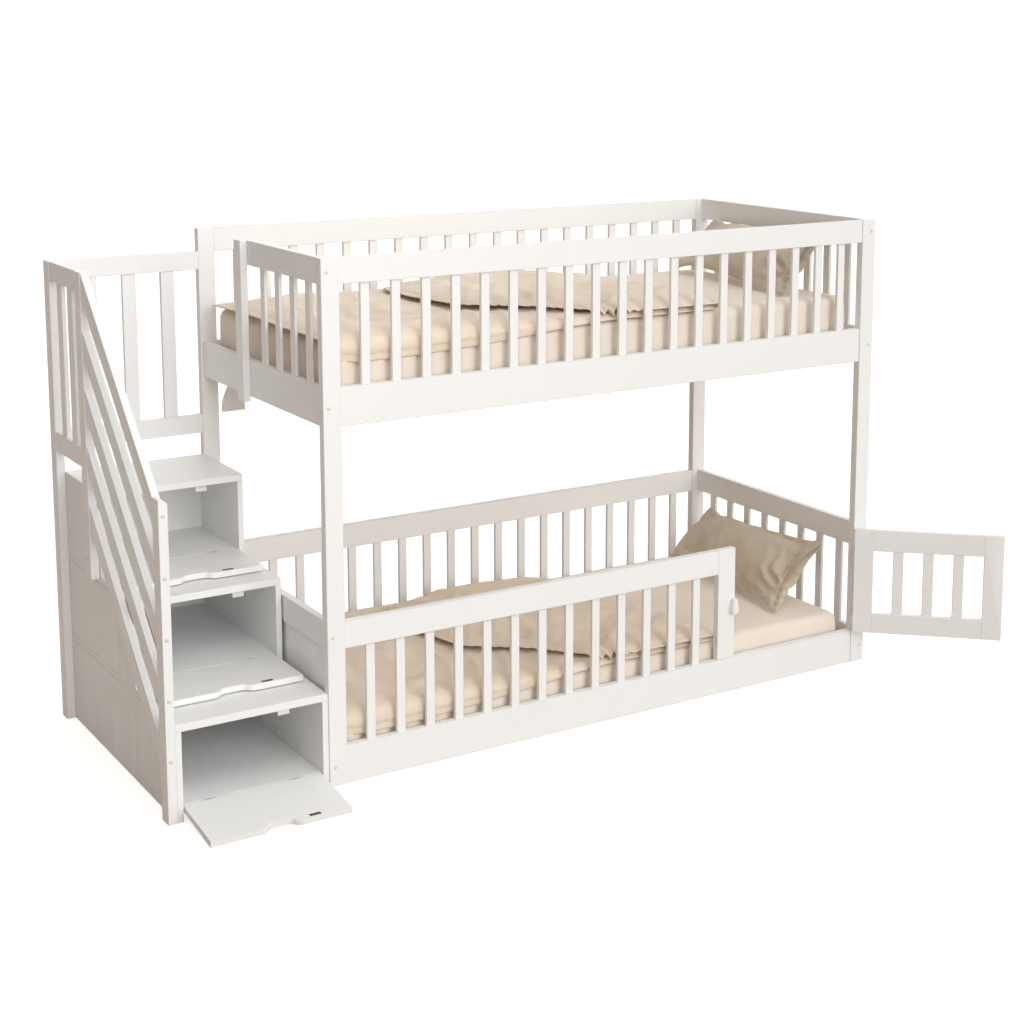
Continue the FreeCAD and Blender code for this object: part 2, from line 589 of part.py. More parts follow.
def gate_hinge_leaf(z, fixed):
    """A leaf screwed to the front face of the post or of the gate, with its knuckles."""
    ax, ay = gate_axis()
    side = 1 if fixed else -1
    face = Y_FRONT
    near = ax + side * KNUCKLE_GAP
    far = ax + side * GATE_HINGE_LEAF_W
    clear_x = ax + side * (HINGE_R + KNUCKLE_GAP)
    plate = box(sorted((clear_x, far)), (face - HINGE_LEAF_T, face), z)
    leaf = plate
    for run in knuckle_runs(z[0], z[1], fixed):
        tab = box(sorted((near, clear_x)), (face - HINGE_LEAF_T, face), run)
        ring = Part.makeCylinder(HINGE_R, run[1] - run[0], V(ax, ay, run[0]), UP)
        leaf = leaf.fuse(tab).fuse(ring)
    if not fixed:
        leaf = leaf.cut(Part.makeCylinder(HINGE_PIN_R + HINGE_CLEAR, z[1] - z[0], V(ax, ay, z[0]), UP))
    return leaf.removeSplitter()


def make_gate():
    ax, ay = gate_axis()
    low = LOWER_RAIL_TOP + GATE_FLOOR_GAP
    right = X_IN_RIGHT - GATE_HINGE_GAP
    left = right - GATE_WIDTH
    y = (Y_FRONT, Y_FRONT + GATE_T)
    z = (low, GATE_TOP)
    stiles = [bar((left, left + GATE_STILE_W), y, z), bar((right - GATE_STILE_W, right), y, z)]
    inner = (left + GATE_STILE_W, right - GATE_STILE_W)
    rails = [
        bar(inner, y, (low, low + GATE_BOTTOM_RAIL_H)),
        bar(inner, y, (GATE_TOP - GATE_TOP_RAIL_H, GATE_TOP)),
    ]
    slat_y = centred(sum(y) / 2, GATE_SLAT_T)
    slat_z = (low + GATE_BOTTOM_RAIL_H, GATE_TOP - GATE_TOP_RAIL_H)
    places = spread(inner[0], inner[1], GATE_SLAT_W, GATE_SLAT_COUNT)
    slats = [bar((at, at + GATE_SLAT_W), slat_y, slat_z) for at in places]
    spans = gate_hinge_spans()
    leaves = [gate_hinge_leaf(span, False) for span in spans]
    groups = (("gate_frame", stiles + rails), ("gate_slats", slats), ("gate_hinge_leaves", leaves))
    for name, solids in groups:
        for solid in solids:
            solid.rotate(V(ax, ay, 0), UP, GATE_OPEN_DEG)
        keep(name, *solids)
    keep("gate_hinge_post_leaves", *[gate_hinge_leaf(span, True) for span in spans])
    runs = [run for span in spans for run in pin_runs(*span)]
    keep("gate_hinge_pins", *[Part.makeCylinder(HINGE_PIN_R, b - a, V(ax, ay, a), UP) for a, b in runs])


# ---- Turn latch on the gate stop post ----
def latch_outline(reach, tail, width, y, x, z):
    """A drop outline: a broad round tail and a narrower round tip, joined by straight flanks."""
    big = width / 2
    small = width * LATCH_TIP_SHARE
    top = z + reach - small
    bottom = z - tail + big
    edges = [
        Part.Arc(V(x - small, y, top), V(x, y, top + small), V(x + small, y, top)).toShape(),
        Part.makeLine(V(x + small, y, top), V(x + big, y, bottom)),
        Part.Arc(V(x + big, y, bottom), V(x, y, bottom - big), V(x - big, y, bottom)).toShape(),
        Part.makeLine(V(x - big, y, bottom), V(x - small, y, top)),
    ]
    return Part.Face(Part.Wire(edges))


def make_latch():
    x = STOP_POST_X[1] - LATCH_PIVOT_IN
    face = FRONT_RAIL_Y[0]
    rim = LATCH_BASE_RIM
    base = latch_outline(LATCH_REACH, LATCH_TAIL + rim, LATCH_LEVER_W + 2 * rim, face, x, LATCH_Z)
    base = base.extrude(V(0, -LATCH_BASE_T, 0))
    stud_y = LATCH_BASE_T + 2 * LATCH_GAP + LATCH_LEVER_T
    stud = Part.makeCylinder(LATCH_PIN_R, stud_y, V(x, face, LATCH_Z), -BACK)
    head = Part.makeCylinder(LATCH_HEAD_R, LATCH_HEAD_T, V(x, face - stud_y, LATCH_Z), -BACK)
    lever_face = face - LATCH_BASE_T - LATCH_GAP
    lever = latch_outline(LATCH_REACH, LATCH_TAIL, LATCH_LEVER_W, lever_face, x, LATCH_Z)
    lever = lever.extrude(V(0, -LATCH_LEVER_T, 0))
    hole = Part.makeCylinder(LATCH_PIN_R + HINGE_CLEAR, stud_y, V(x, face, LATCH_Z), -BACK)
    keep("latch_base", base.fuse(stud).fuse(head).removeSplitter())
    keep("latch_lever", lever.cut(hole))


# ---- Bolt covers where rails are bolted to the posts ----
def cap(at, out):
    """A low round button cover, its rim cut in small flats."""
    across = out.cross(UP)
    rim = []
    for i in range(CAP_FLATS):
        turn = 2 * math.pi * i / CAP_FLATS
        rim.append(at + UP * (CAP_R * math.cos(turn)) + across * (CAP_R * math.sin(turn)))
    return Part.Face(Part.makePolygon(rim + rim[:1])).extrude(out * CAP_H)


def make_bolt_caps():
    caps = []
    end_x = (sum(LEFT_RAIL_X) / 2, sum(RIGHT_RAIL_X) / 2)
    side_y = (sum(FRONT_RAIL_Y) / 2, sum(BACK_RAIL_Y) / 2)
    heights = (
        LOWER_RAIL_TOP / 2, (LOWER_GUARD_BOTTOM + LOWER_GUARD_TOP) / 2,
        (UPPER_RAIL_BOTTOM + UPPER_RAIL_TOP) / 2, sum(TOP_RAIL_Z) / 2,
    )
    for z in heights:
        for x in end_x:
            caps.append(cap(V(x, Y_FRONT, z), -BACK))
            caps.append(cap(V(x, Y_BACK, z), BACK))
        for y in side_y:
            caps.append(cap(V(X_RIGHT, y, z), ALONG))
            if z > crate_planes(len(STEP_FRONTS) - 1)[3]:
                caps.append(cap(V(X_LEFT, y, z), -ALONG))
    x = sum(STAIR_POST_X) / 2
    rise = STAIR_POST_TOP - HANDRAIL_LOW_TOP
    run = MIDDLE_POST_FRONT - NEWEL_FRONT - STAIR_POST_W
    half = HANDRAIL_W * math.hypot(1, rise / run) / 2
    for i in range(HANDRAIL_COUNT):
        z = HANDRAIL_LOW_TOP - half - i * HANDRAIL_PITCH
        caps.append(cap(V(x, Y_FRONT + NEWEL_FRONT, z), -BACK))
    middle_y = Y_FRONT + MIDDLE_POST_FRONT + STAIR_POST_W / 2
    for rise in MIDDLE_CAP_RISES:
        caps.append(cap(V(STAIR_POST_X[0], middle_y, crate_planes(1)[3] + rise), -ALONG))
    keep("bolt_caps", *caps)


# ---- Bedding ----
def cloth_solid(loops):
    """A closed soft form stretched over loops of points, every loop with the same number of them."""
    faces = [Part.Face(Part.makePolygon(loop + loop[:1])) for loop in (loops[0], loops[-1])]
    for low, high in zip(loops, loops[1:]):
        for i in range(len(low)):
            k = (i + 1) % len(low)
            for corners in ([low[i], low[k], high[k]], [low[i], high[k], high[i]]):
                faces.append(Part.Face(Part.makePolygon(corners + corners[:1])))
    solid = Part.Solid(Part.Shell(faces))
    if solid.Volume < 0:
        solid.reverse()
    return solid


def rounded_loop(x, y, z, corner):
    """A level rectangle with round corners, as lines and quarter arcs."""
    k = corner * (1 - math.sqrt(0.5))
    edges = [
        Part.makeLine(V(x[0] + corner, y[0], z), V(x[1] - corner, y[0], z)),
        Part.Arc(V(x[1] - corner, y[0], z), V(x[1] - k, y[0] + k, z), V(x[1], y[0] + corner, z)).toShape(),
        Part.makeLine(V(x[1], y[0] + corner, z), V(x[1], y[1] - corner, z)),
        Part.Arc(V(x[1], y[1] - corner, z), V(x[1] - k, y[1] - k, z), V(x[1] - corner, y[1], z)).toShape(),
        Part.makeLine(V(x[1] - corner, y[1], z), V(x[0] + corner, y[1], z)),
        Part.Arc(V(x[0] + corner, y[1], z), V(x[0] + k, y[1] - k, z), V(x[0], y[1] - corner, z)).toShape(),
        Part.makeLine(V(x[0], y[1] - corner, z), V(x[0], y[0] + corner, z)),
        Part.Arc(V(x[0], y[0] + corner, z), V(x[0] + k, y[0] + k, z), V(x[0] + corner, y[0], z)).toShape(),
    ]
    return Part.Wire(edges)


def make_mattress(level, deck_top):
    """A foam mattress: drawn in at its top and bottom seams, full at mid height, crowned on top."""
    x = (X_LEFT + MATTRESS_LEFT, X_RIGHT - MATTRESS_RIGHT)
    y = (Y_IN_FRONT + MATTRESS_PLAY, Y_IN_BACK - MATTRESS_PLAY)
    low = deck_top + SOFT_CLEAR
    loops = []
    for share, inset in MATTRESS_RINGS:
        z = low + share * MATTRESS_H
        x_in = (x[0] + inset, x[1] - inset)
        y_in = (y[0] + inset, y[1] - inset)
        loops.append(rounded_loop(x_in, y_in, z, MATTRESS_CORNER))
    keep(level + "_mattress", Part.makeLoft(loops, True, True))


def duvet_x(reach, share):
    """Where a line across the duvet lies: reach 1 is the turned hem, reach 2 the fold at the foot end."""
    i = next(k for k, station in enumerate(DUVET_STATIONS[1:]) if share <= station or station == 1.0)
    near, far = DUVET_STATIONS[i], DUVET_STATIONS[i + 1]
    left = X_LEFT + DUVET_LEFT
    hem = left + DUVET_L * (DUVET_HEM[i] + (DUVET_HEM[i + 1] - DUVET_HEM[i]) * (share - near) / (far - near))
    fold = left + DUVET_L - DUVET_SKEW * share
    if reach <= 1:
        return left + reach * (hem - left)
    return hem + (reach - 1) * (fold - hem)


def duvet_line(base, reach, inset, drop, heights):
    """The duvet's outline along one line across the bed, closed below and hanging at the front."""
    start = Y_FRONT + DUVET_FRONT
    width = Y_BACK - DUVET_BACK - start
    front = start + inset
    points = [(front + run, base - share * drop) for run, share in DUVET_LIP]
    points.append((front, base + DUVET_ROLL - drop * DUVET_LIP[1][1]))
    points.append((front + DUVET_ROLL, base + heights[0]))
    points += [(start + share * width, base + h) for share, h in zip(DUVET_STATIONS[1:], heights[1:])]
    points.append((start + width, base))
    return [V(duvet_x(reach, (y - start) / width), y, z) for y, z in points]


def make_duvet(level, deck_top):
    """A quilt spread over the mattress, its foot end turned back on itself in a slanting fold."""
    base = deck_top + MATTRESS_H + 2 * SOFT_CLEAR
    keep(level + "_duvet", cloth_solid([duvet_line(base, *line) for line in DUVET_LINES]))


def pillow_loop(half_l, half_w, pull, height):
    """A pillow's outline at one level: four corners joined by sides that pull in."""
    corners = [V(-half_l, -half_w, height), V(half_l, -half_w, height),
               V(half_l, half_w, height), V(-half_l, half_w, height)]
    inward = (V(0, pull, 0), V(-pull, 0, 0), V(0, -pull, 0), V(pull, 0, 0))
    loop = []
    for i, corner in enumerate(corners):
        after = corners[(i + 1) % 4]
        for k in range(PILLOW_SIDE_STEPS):
            share = k / PILLOW_SIDE_STEPS
            loop.append(corner + (after - corner) * share + inward[i] * (4 * share * (1 - share)))
    return loop


def make_pillow(level, deck_top):
    """A filled pillow leaning on the right end guard: crowned faces, pinched corners."""
    loops = []
    for share, size, pull in PILLOW_LEVELS:
        loops.append(pillow_loop(size * PILLOW_L / 2, size * PILLOW_W / 2, pull, share * PILLOW_T))
    pillow = cloth_solid(loops)
    pillow.rotate(V(0, 0, 0), UP, PILLOW_TURN_DEG)
    pillow.rotate(V(0, 0, 0), BACK, -PILLOW_LEAN_DEG)
    bounds = pillow.optimalBoundingBox(False)
    right = RIGHT_RAIL_X[0] - PILLOW_BACK_GAP
    top = deck_top + MATTRESS_H + 2 * SOFT_CLEAR
    middle = (Y_IN_FRONT + Y_IN_BACK) / 2
    pillow.translate(V(right - bounds.XMax, middle - (bounds.YMin + bounds.YMax) / 2, top - bounds.ZMin))
    keep(level + "_pillow", pillow)


make_posts()
make_rails()
make_guard_slats()
make_decks()
make_gusset()
make_crates()
make_flaps()
make_stair_posts()
make_stair_guards()
make_handrails()
make_gate()
make_latch()
make_bolt_caps()
for storey, deck in (("lower", LOWER_DECK_TOP), ("upper", UPPER_DECK_TOP)):
    make_mattress(storey, deck)
    make_duvet(storey, deck)
    make_pillow(storey, deck)

os.makedirs("parts", exist_ok=True)
for name, shape in nodes.items():
    shape.exportStep("parts/%s.step" % name)
    print(name, len(shape.Solids), "solids", "valid" if shape.isValid() else "NOT VALID")
print("lowest flap rests", round(drop_angle(), 2), "degrees below level")
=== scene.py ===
# %% [markdown]
# # A bunk bed with storage stairs
# The bed's boards, posts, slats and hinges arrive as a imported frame, already at their real sizes.
# This file dresses that frame. It gives the boards a painted finish with soft edges, makes the
# small fittings, and makes the bedding, which no board or block can stand in for.
# Everything is in metres: +X runs along the bed, +Y to its back and +Z up.

# %% Load the frame and note its size
import math

import bpy
import numpy as np
from mathutils import Matrix, Vector, noise


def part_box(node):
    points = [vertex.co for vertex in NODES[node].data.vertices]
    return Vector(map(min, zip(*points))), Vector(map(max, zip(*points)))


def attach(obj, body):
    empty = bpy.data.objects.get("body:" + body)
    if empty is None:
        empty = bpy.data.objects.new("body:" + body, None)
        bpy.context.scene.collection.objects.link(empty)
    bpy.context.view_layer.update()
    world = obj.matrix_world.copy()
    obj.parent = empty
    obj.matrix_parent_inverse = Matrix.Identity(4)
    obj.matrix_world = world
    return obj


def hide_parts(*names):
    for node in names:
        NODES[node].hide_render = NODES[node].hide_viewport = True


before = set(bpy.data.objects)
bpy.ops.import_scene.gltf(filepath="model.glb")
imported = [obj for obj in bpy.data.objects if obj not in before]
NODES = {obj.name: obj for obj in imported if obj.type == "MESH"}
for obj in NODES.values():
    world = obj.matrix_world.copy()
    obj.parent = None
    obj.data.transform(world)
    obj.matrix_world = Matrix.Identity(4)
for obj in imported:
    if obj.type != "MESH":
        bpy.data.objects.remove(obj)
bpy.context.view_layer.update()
MM = 0.001
LEVELS = ("lower", "upper")


def new_object(name, data):
    """A camera, lamp or mesh as an object in the scene."""
    made = bpy.data.objects.new(name, data)
    bpy.context.collection.objects.link(made)
    return made


def new_mesh(name, points, faces):
    mesh = bpy.data.meshes.new(name)
    mesh.from_pydata([tuple(p) for p in points], [], faces)
    return mesh


# %% [markdown]
# ## The camera
# The picture was taken from the bed's front left, a little above the guard rail, with an ordinary
# lens. A shot like this keeps its upright lines upright by shifting the lens and hardly tilting it.
# So the camera has a place, a turn, a small tilt, and a shift in place of a larger tilt.

# %% Place the camera
IMAGE_SIDE = 1024.0
LENS_F = 1772.7  # focal length in pixels of the square frame
LENS_CENTRE = (533.04, 321.88)
CAMERA_PLACE = (-2.0994, -4.4865, 2.1614)
TURN_DEG = 31.74  # to the right of straight ahead along +Y
TILT_DEG = 9.11  # below level
SENSOR_MM = 36.0
VIEW_REACH = 60

view_data = bpy.data.cameras.new("view")
camera = new_object("view", view_data)
camera.location = CAMERA_PLACE
camera.rotation_euler = (math.radians(90 - TILT_DEG), 0, math.radians(-TURN_DEG))
view_data.sensor_width = SENSOR_MM
view_data.lens = LENS_F / IMAGE_SIDE * SENSOR_MM
view_data.shift_x = (IMAGE_SIDE / 2 - LENS_CENTRE[0]) / IMAGE_SIDE
view_data.shift_y = (LENS_CENTRE[1] - IMAGE_SIDE / 2) / IMAGE_SIDE
view_data.clip_end = VIEW_REACH
bpy.context.scene.camera = camera
print("lens", round(view_data.lens, 2), "shift", round(view_data.shift_x, 4))

# %% [markdown]
# ## Tools for shader nodes
# A material here is one Principled surface with small networks of nodes feeding its colour,
# roughness and bump. The same few nodes come back in every network, so each has a short helper.
# What more than one material needs is a node group, built once: the grain of wood under paint, the
# softening along edges, and the weave of cloth.

# %% Add nodes and feed their inputs
def feed(tree, node, values=(), **named):
    """Give inputs in order or by name, _ for a space: a socket is linked, a value is set."""
    for key, value in [*enumerate(values), *named.items()]:
        entry = node.inputs[key if isinstance(key, int) else key.replace("_", " ")]
        if isinstance(value, bpy.types.NodeSocket):
            tree.links.new(value, entry)
        else:
            entry.default_value = value
    return node


def add_node(tree, kind, values=(), settings=None, **named):
    """A new node of a kind, with its settings and inputs."""
    node = tree.nodes.new("ShaderNode" + kind)
    for label, value in (settings or {}).items():
        setattr(node, label, value)
    return feed(tree, node, values, **named)


def sum_node(tree, operation, *values):
    return add_node(tree, "Math", values, {"operation": operation}).outputs[0]


def vector_node(tree, operation, *values):
    return add_node(tree, "VectorMath", values, {"operation": operation})


def ramp_node(tree, value, low, high, to_low=0.0, to_high=1.0):
    """A smooth step of a value from one range to another."""
    return add_node(tree, "MapRange", (), {"interpolation_type": "SMOOTHSTEP"}, Value=value,
                    From_Min=low, From_Max=high, To_Min=to_low, To_Max=to_high).outputs["Result"]


def noise_node(tree, vector, scale, detail=3.0, distortion=0.0):
    return add_node(tree, "TexNoise", Vector=vector, Scale=scale, Detail=detail,
                    Distortion=distortion).outputs["Fac"]


def mix_colour(tree, factor, first, second):
    """Two colours blended by a factor; each is a socket or a colour."""
    return add_node(tree, "Mix", (), {"data_type": "RGBA"}, Factor=factor, A=first,
                    B=second).outputs["Result"]


def new_material(name, colour, roughness, metallic=0.0):
    """A Principled material with plain values, and its node tree to build on."""
    finish = bpy.data.materials.new(name)
    finish.use_nodes = True
    finish.diffuse_color = colour
    surface = finish.node_tree.nodes["Principled BSDF"]
    feed(finish.node_tree, surface, Base_Color=colour, Roughness=roughness, Metallic=metallic)
    return finish, finish.node_tree, surface


print("shader helpers ready")

# %% [markdown]
# ## Floor and light
# The bed stands on a plain pale floor in a white room. Two things have to be true at once: the
# background is pure white, and the white paint is not burnt out. So the world and the floor look
# white only to the camera and to reflections. The light itself is a soft sky that is dimmer and
# warmer on the left, so that the left-facing boards come out a warm grey. A broad key lamp low at
# the front keeps the front-facing boards bright. A weak lamp high up reaches the treads, and one
# behind keeps the back from going dull. A soft panel over the stair's foot lights the inside.

# %% Build the sky
ROOM_WHITE = (1, 1, 1, 1)
SKY_BRIGHT = (0.80, 0.80, 0.795, 1)
SKY_DIM = (0.145, 0.085, 0.045, 1)
SKY_LEVEL = 1.10
SKY_WAY = (1.0, -0.45, 0.25)  # the sky brightens this way, from the back left
SKY_EDGE = (-0.95, 0.45)  # and turns from dim to bright between these places along it


def white_to_the_lens(tree, plain, white):
    """A shader that is white for rays seen directly, in a mirror or through glass."""
    path = add_node(tree, "LightPath")
    factor = path.outputs["Is Camera Ray"]
    for ray in ("Is Glossy Ray", "Is Transmission Ray"):
        factor = sum_node(tree, "MAXIMUM", factor, path.outputs[ray])
    return add_node(tree, "MixShader", (factor, plain.outputs[0], white.outputs[0])).outputs[0]


def make_world():
    world = bpy.data.worlds.new("white_room")
    world.use_nodes = True
    bpy.context.scene.world = world
    tree = world.node_tree
    tree.nodes.clear()
    place = add_node(tree, "TexCoord")
    along = vector_node(tree, "DOT_PRODUCT", place.outputs["Generated"], SKY_WAY)
    side = ramp_node(tree, along.outputs["Value"], *SKY_EDGE)
    blend = mix_colour(tree, side, SKY_DIM, SKY_BRIGHT)
    room = add_node(tree, "Background", Color=blend, Strength=SKY_LEVEL)
    white = add_node(tree, "Background", Color=ROOM_WHITE)
    add_node(tree, "OutputWorld", Surface=white_to_the_lens(tree, room, white))


make_world()
print("sky: dim on the left, bright elsewhere, level", SKY_LEVEL)

# %% Lay the floor
FLOOR_SIZE = 30.0
FLOOR_COLOUR = (0.47, 0.405, 0.35, 1)
FLOOR_GLOW = 0.78  # lifts the lit floor to white for the lens, and leaves the shadow


def make_floor():
    half = FLOOR_SIZE / 2
    corners = [(-half, -half, 0), (half, -half, 0), (half, half, 0), (-half, half, 0)]
    floor = new_object("floor", new_mesh("floor", corners, [(0, 1, 2, 3)]))
    finish, tree, surface = new_material("floor_paint", FLOOR_COLOUR, 0.9)
    glow = add_node(tree, "Emission", Color=ROOM_WHITE, Strength=FLOOR_GLOW)
    lit = add_node(tree, "AddShader", (surface.outputs[0], glow.outputs[0]))
    feed(tree, tree.nodes["Material Output"], Surface=white_to_the_lens(tree, surface, lit))
    floor.data.materials.append(finish)


make_floor()
print("floor:", FLOOR_SIZE, "m across")

# %% Hang the lamps
LAMPS = (  # name, strength, turn, height and spread in degrees, colour
    ("key", 1.02, 6.0, 18.0, 38.0, (0.99, 0.997, 1.0)),
    ("top", 0.28, 40.0, 58.0, 50.0, (1.0, 1.0, 1.0)),
    ("back", 0.50, 160.0, 28.0, 50.0, (1.0, 1.0, 1.0)),
)
LAMP_FAR = 8
PANEL_PLACE = Vector((-0.62, -1.7, 2.7))  # over the stair's foot, clear of the outer side
PANEL_AIM = Vector((1.3, 0.45, 0.55))
PANEL_WATTS = 11.0
PANEL_SIZE = 1.2


def hang_light(name, kind, strength, place, way):
    """A light of a kind at a place, that shines along a way."""
    data = bpy.data.lights.new(name, kind)
    data.energy = strength
    lamp = new_object(name, data)
    lamp.location = place
    lamp.rotation_euler = way.to_track_quat("-Z", "Y").to_euler()
    return data


for name, strength, turn_deg, height_deg, spread_deg, colour in LAMPS:
    turn, height = math.radians(turn_deg), math.radians(height_deg)
    level = math.cos(height)
    way = Vector((math.sin(turn) * level, -math.cos(turn) * level, math.sin(height)))
    lamp = hang_light(name, "SUN", strength, way * LAMP_FAR, -way)
    lamp.angle = math.radians(spread_deg)
    lamp.color = colour
hang_light("panel", "AREA", PANEL_WATTS, PANEL_PLACE, PANEL_AIM - PANEL_PLACE).size = PANEL_SIZE
bpy.context.scene.view_settings.view_transform = "Standard"
print("lamps:", [lamp[:2] for lamp in LAMPS])

# %% [markdown]
# ## Wood, edges and paint
# The grain is noise drawn out along one direction: long soft streaks with finer ones over them. The
# group takes the direction as an axis it is stretched along, so that each board's grain runs along
# the board. Under two coats of paint only a trace of it is left, in the sheen more than the colour.

# %% Grain of a planed board
GRAIN_STRETCH = 0.06  # streaks are this much of their natural size across the grain


def new_group(name, sockets_in, names_out):
    """A node group with its inputs (name and value) and its number outputs (name)."""
    group = bpy.data.node_groups.new(name, "ShaderNodeTree")
    for label, value in sockets_in.items():
        kind = "NodeSocketVector" if isinstance(value, tuple) else "NodeSocketFloat"
        socket = group.interface.new_socket(label, in_out="INPUT", socket_type=kind)
        socket.default_value = value
    for label in names_out:
        group.interface.new_socket(label, in_out="OUTPUT", socket_type="NodeSocketFloat")
    return group, group.nodes.new("NodeGroupInput").outputs, group.nodes.new("NodeGroupOutput")


def make_grain_group():
    sockets = {"Stretch": (1.0, 1.0, 1.0), "Turn": (0.0, 0.0, 0.0), "Scale": 40.0}
    group, given, leave = new_group("board_grain", sockets, ("Streaks", "Mottle"))
    place = add_node(group, "TexCoord").outputs["Object"]
    turned = add_node(group, "VectorRotate", (), {"rotation_type": "EULER_XYZ"}, Vector=place,
                      Rotation=given["Turn"])
    drawn = vector_node(group, "MULTIPLY", turned.outputs[0], given["Stretch"])
    feed(group, leave, Streaks=noise_node(group, drawn.outputs[0], given["Scale"], 5.0, 0.6),
         Mottle=noise_node(group, place, 5.0, 2.0))
    return group


GRAIN = make_grain_group()
print("group:", GRAIN.name)

# %% [markdown]
# Hands, feet and sheets polish a board's edges. The edge group compares the true surface with one
# rounded over by a small radius. Where they differ there is an edge, and the paint there is a touch
# smoother and lets a little of the wood's warmth through.

# %% Softened edges
EDGE_ALIKE = (0.995, 0.80)  # the match of the two surfaces' directions at no edge and at a full one


def make_edge_group():
    group, given, leave = new_group("edge_wear", {"Radius": 0.003, "Amount": 1.0}, ("Edge",))
    rounded = add_node(group, "Bevel", (), {"samples": 3}, Radius=given["Radius"])
    shape = add_node(group, "NewGeometry").outputs
    alike = vector_node(group, "DOT_PRODUCT", rounded.outputs[0], shape["True Normal"])
    edge = ramp_node(group, alike.outputs["Value"], *EDGE_ALIKE)
    patchy = ramp_node(group, noise_node(group, shape["Position"], 60.0), 0.35, 0.75, 0.35, 1.0)
    broken = sum_node(group, "MULTIPLY", edge, patchy)
    feed(group, leave, Edge=sum_node(group, "MULTIPLY", broken, given["Amount"]))
    return group


EDGE = make_edge_group()
print("group:", EDGE.name)

# %% [markdown]
# Every painted board uses the same satin white. Only the direction of the grain differs, so there
# is one material for each way that boards run: along, across, upright and up the stair.

# %% White paint
PAINT = (0.85, 0.85, 0.845, 1)
PAINT_SHADE = (0.80, 0.795, 0.785, 1)
PAINT_EDGE = (0.80, 0.76, 0.70, 1)
PAINT_ROUGH = (0.42, 0.62)
PAINT_BUMP = 0.12 * MM
HANDRAIL_SLOPE = math.atan2(0.556, 0.562)


def place_group(tree, group, **values):
    """A group's outputs, once it is placed in a material with its own values."""
    return add_node(tree, "Group", (), {"node_tree": group}, **values).outputs


def finish_surface(tree, surface, colour, rough, height, distance):
    """Feed a Principled surface its colour, its roughness and a bump of some height."""
    bump = add_node(tree, "Bump", Height=height, Distance=distance, Strength=1.0)
    feed(tree, surface, Base_Color=colour, Roughness=rough, Normal=bump.outputs["Normal"])


def make_paint(name, run, turn=(0.0, 0.0, 0.0)):
    """Satin white over wood whose grain runs along one axis, after a turn about X."""
    finish, tree, surface = new_material(name, PAINT, sum(PAINT_ROUGH) / 2)
    stretch = [1.0, 1.0, 1.0]
    stretch[run] = GRAIN_STRETCH
    grain = place_group(tree, GRAIN, Stretch=stretch, Turn=turn, Scale=90.0)
    edge = place_group(tree, EDGE, Radius=2.5 * MM, Amount=0.25)["Edge"]
    mottle = ramp_node(tree, grain["Mottle"], 0.40, 0.72, 0.0, 0.15)
    colour = mix_colour(tree, edge, mix_colour(tree, mottle, PAINT, PAINT_SHADE), PAINT_EDGE)
    rough = ramp_node(tree, grain["Streaks"], 0.30, 0.70, *PAINT_ROUGH)
    rough = sum_node(tree, "MULTIPLY_ADD", edge, -0.12, rough)
    finish_surface(tree, surface, colour, rough, grain["Streaks"], PAINT_BUMP)
    return finish


paint_along = make_paint("paint_along", 0)
paint_across = make_paint("paint_across", 1)
paint_upright = make_paint("paint_upright", 2)
paint_rising = make_paint("paint_rising", 1, (-HANDRAIL_SLOPE, 0.0, 0.0))
print("paints:", [m.name for m in (paint_along, paint_across, paint_upright, paint_rising)])

# %% Bare pine under the mattresses
PINE_LIGHT = (0.70, 0.52, 0.33, 1)
PINE_DARK = (0.50, 0.31, 0.16, 1)


def make_pine():
    finish, tree, surface = new_material("slat_pine", PINE_LIGHT, 0.6)
    streaks = place_group(tree, GRAIN, Stretch=(1.0, GRAIN_STRETCH, 1.0), Scale=70.0)["Streaks"]
    colour = mix_colour(tree, ramp_node(tree, streaks, 0.42, 0.68), PINE_LIGHT, PINE_DARK)
    rough = ramp_node(tree, streaks, 0.3, 0.7, 0.5, 0.72)
    finish_surface(tree, surface, colour, rough, streaks, 0.3 * MM)
    return finish


slat_pine = make_pine()
print("pine:", slat_pine.name)

# %% [markdown]
# The hinges are zinc plated steel: brushed, a little uneven in sheen. The small plastic parts are
# moulded, with the faint orange-peel of a mould. Their sheen varies where fingers touched them.

# %% Steel and plastic
def scaled(colour, times):
    return tuple(min(1.0, c * times) for c in colour[:3]) + (1,)


def make_steel(name, colour, rough):
    finish, tree, surface = new_material(name, colour, rough, 1.0)
    streaks = place_group(tree, GRAIN, Stretch=(GRAIN_STRETCH, 1.0, 1.0), Scale=900.0)["Streaks"]
    edge = place_group(tree, EDGE, Radius=0.8 * MM, Amount=0.7)["Edge"]
    body = mix_colour(tree, edge, colour, scaled(colour, 1.25))
    brushed = ramp_node(tree, streaks, 0.3, 0.7, rough - 0.08, rough + 0.12)
    finish_surface(tree, surface, body, brushed, streaks, 0.02 * MM)
    return finish


def make_plastic(name, colour, rough):
    finish, tree, surface = new_material(name, colour, rough)
    place = add_node(tree, "NewGeometry").outputs["Position"]
    skin = noise_node(tree, place, 1400.0, 2.0)
    touched = noise_node(tree, place, 45.0)
    edge = place_group(tree, EDGE, Radius=1.0 * MM, Amount=0.4)["Edge"]
    body = mix_colour(tree, ramp_node(tree, touched, 0.4, 0.7), colour, scaled(colour, 0.95))
    body = mix_colour(tree, edge, body, scaled(colour, 1.05))
    worn = ramp_node(tree, touched, 0.3, 0.7, rough - 0.05, rough + 0.12)
    finish_surface(tree, surface, body, worn, skin, 0.03 * MM)
    return finish


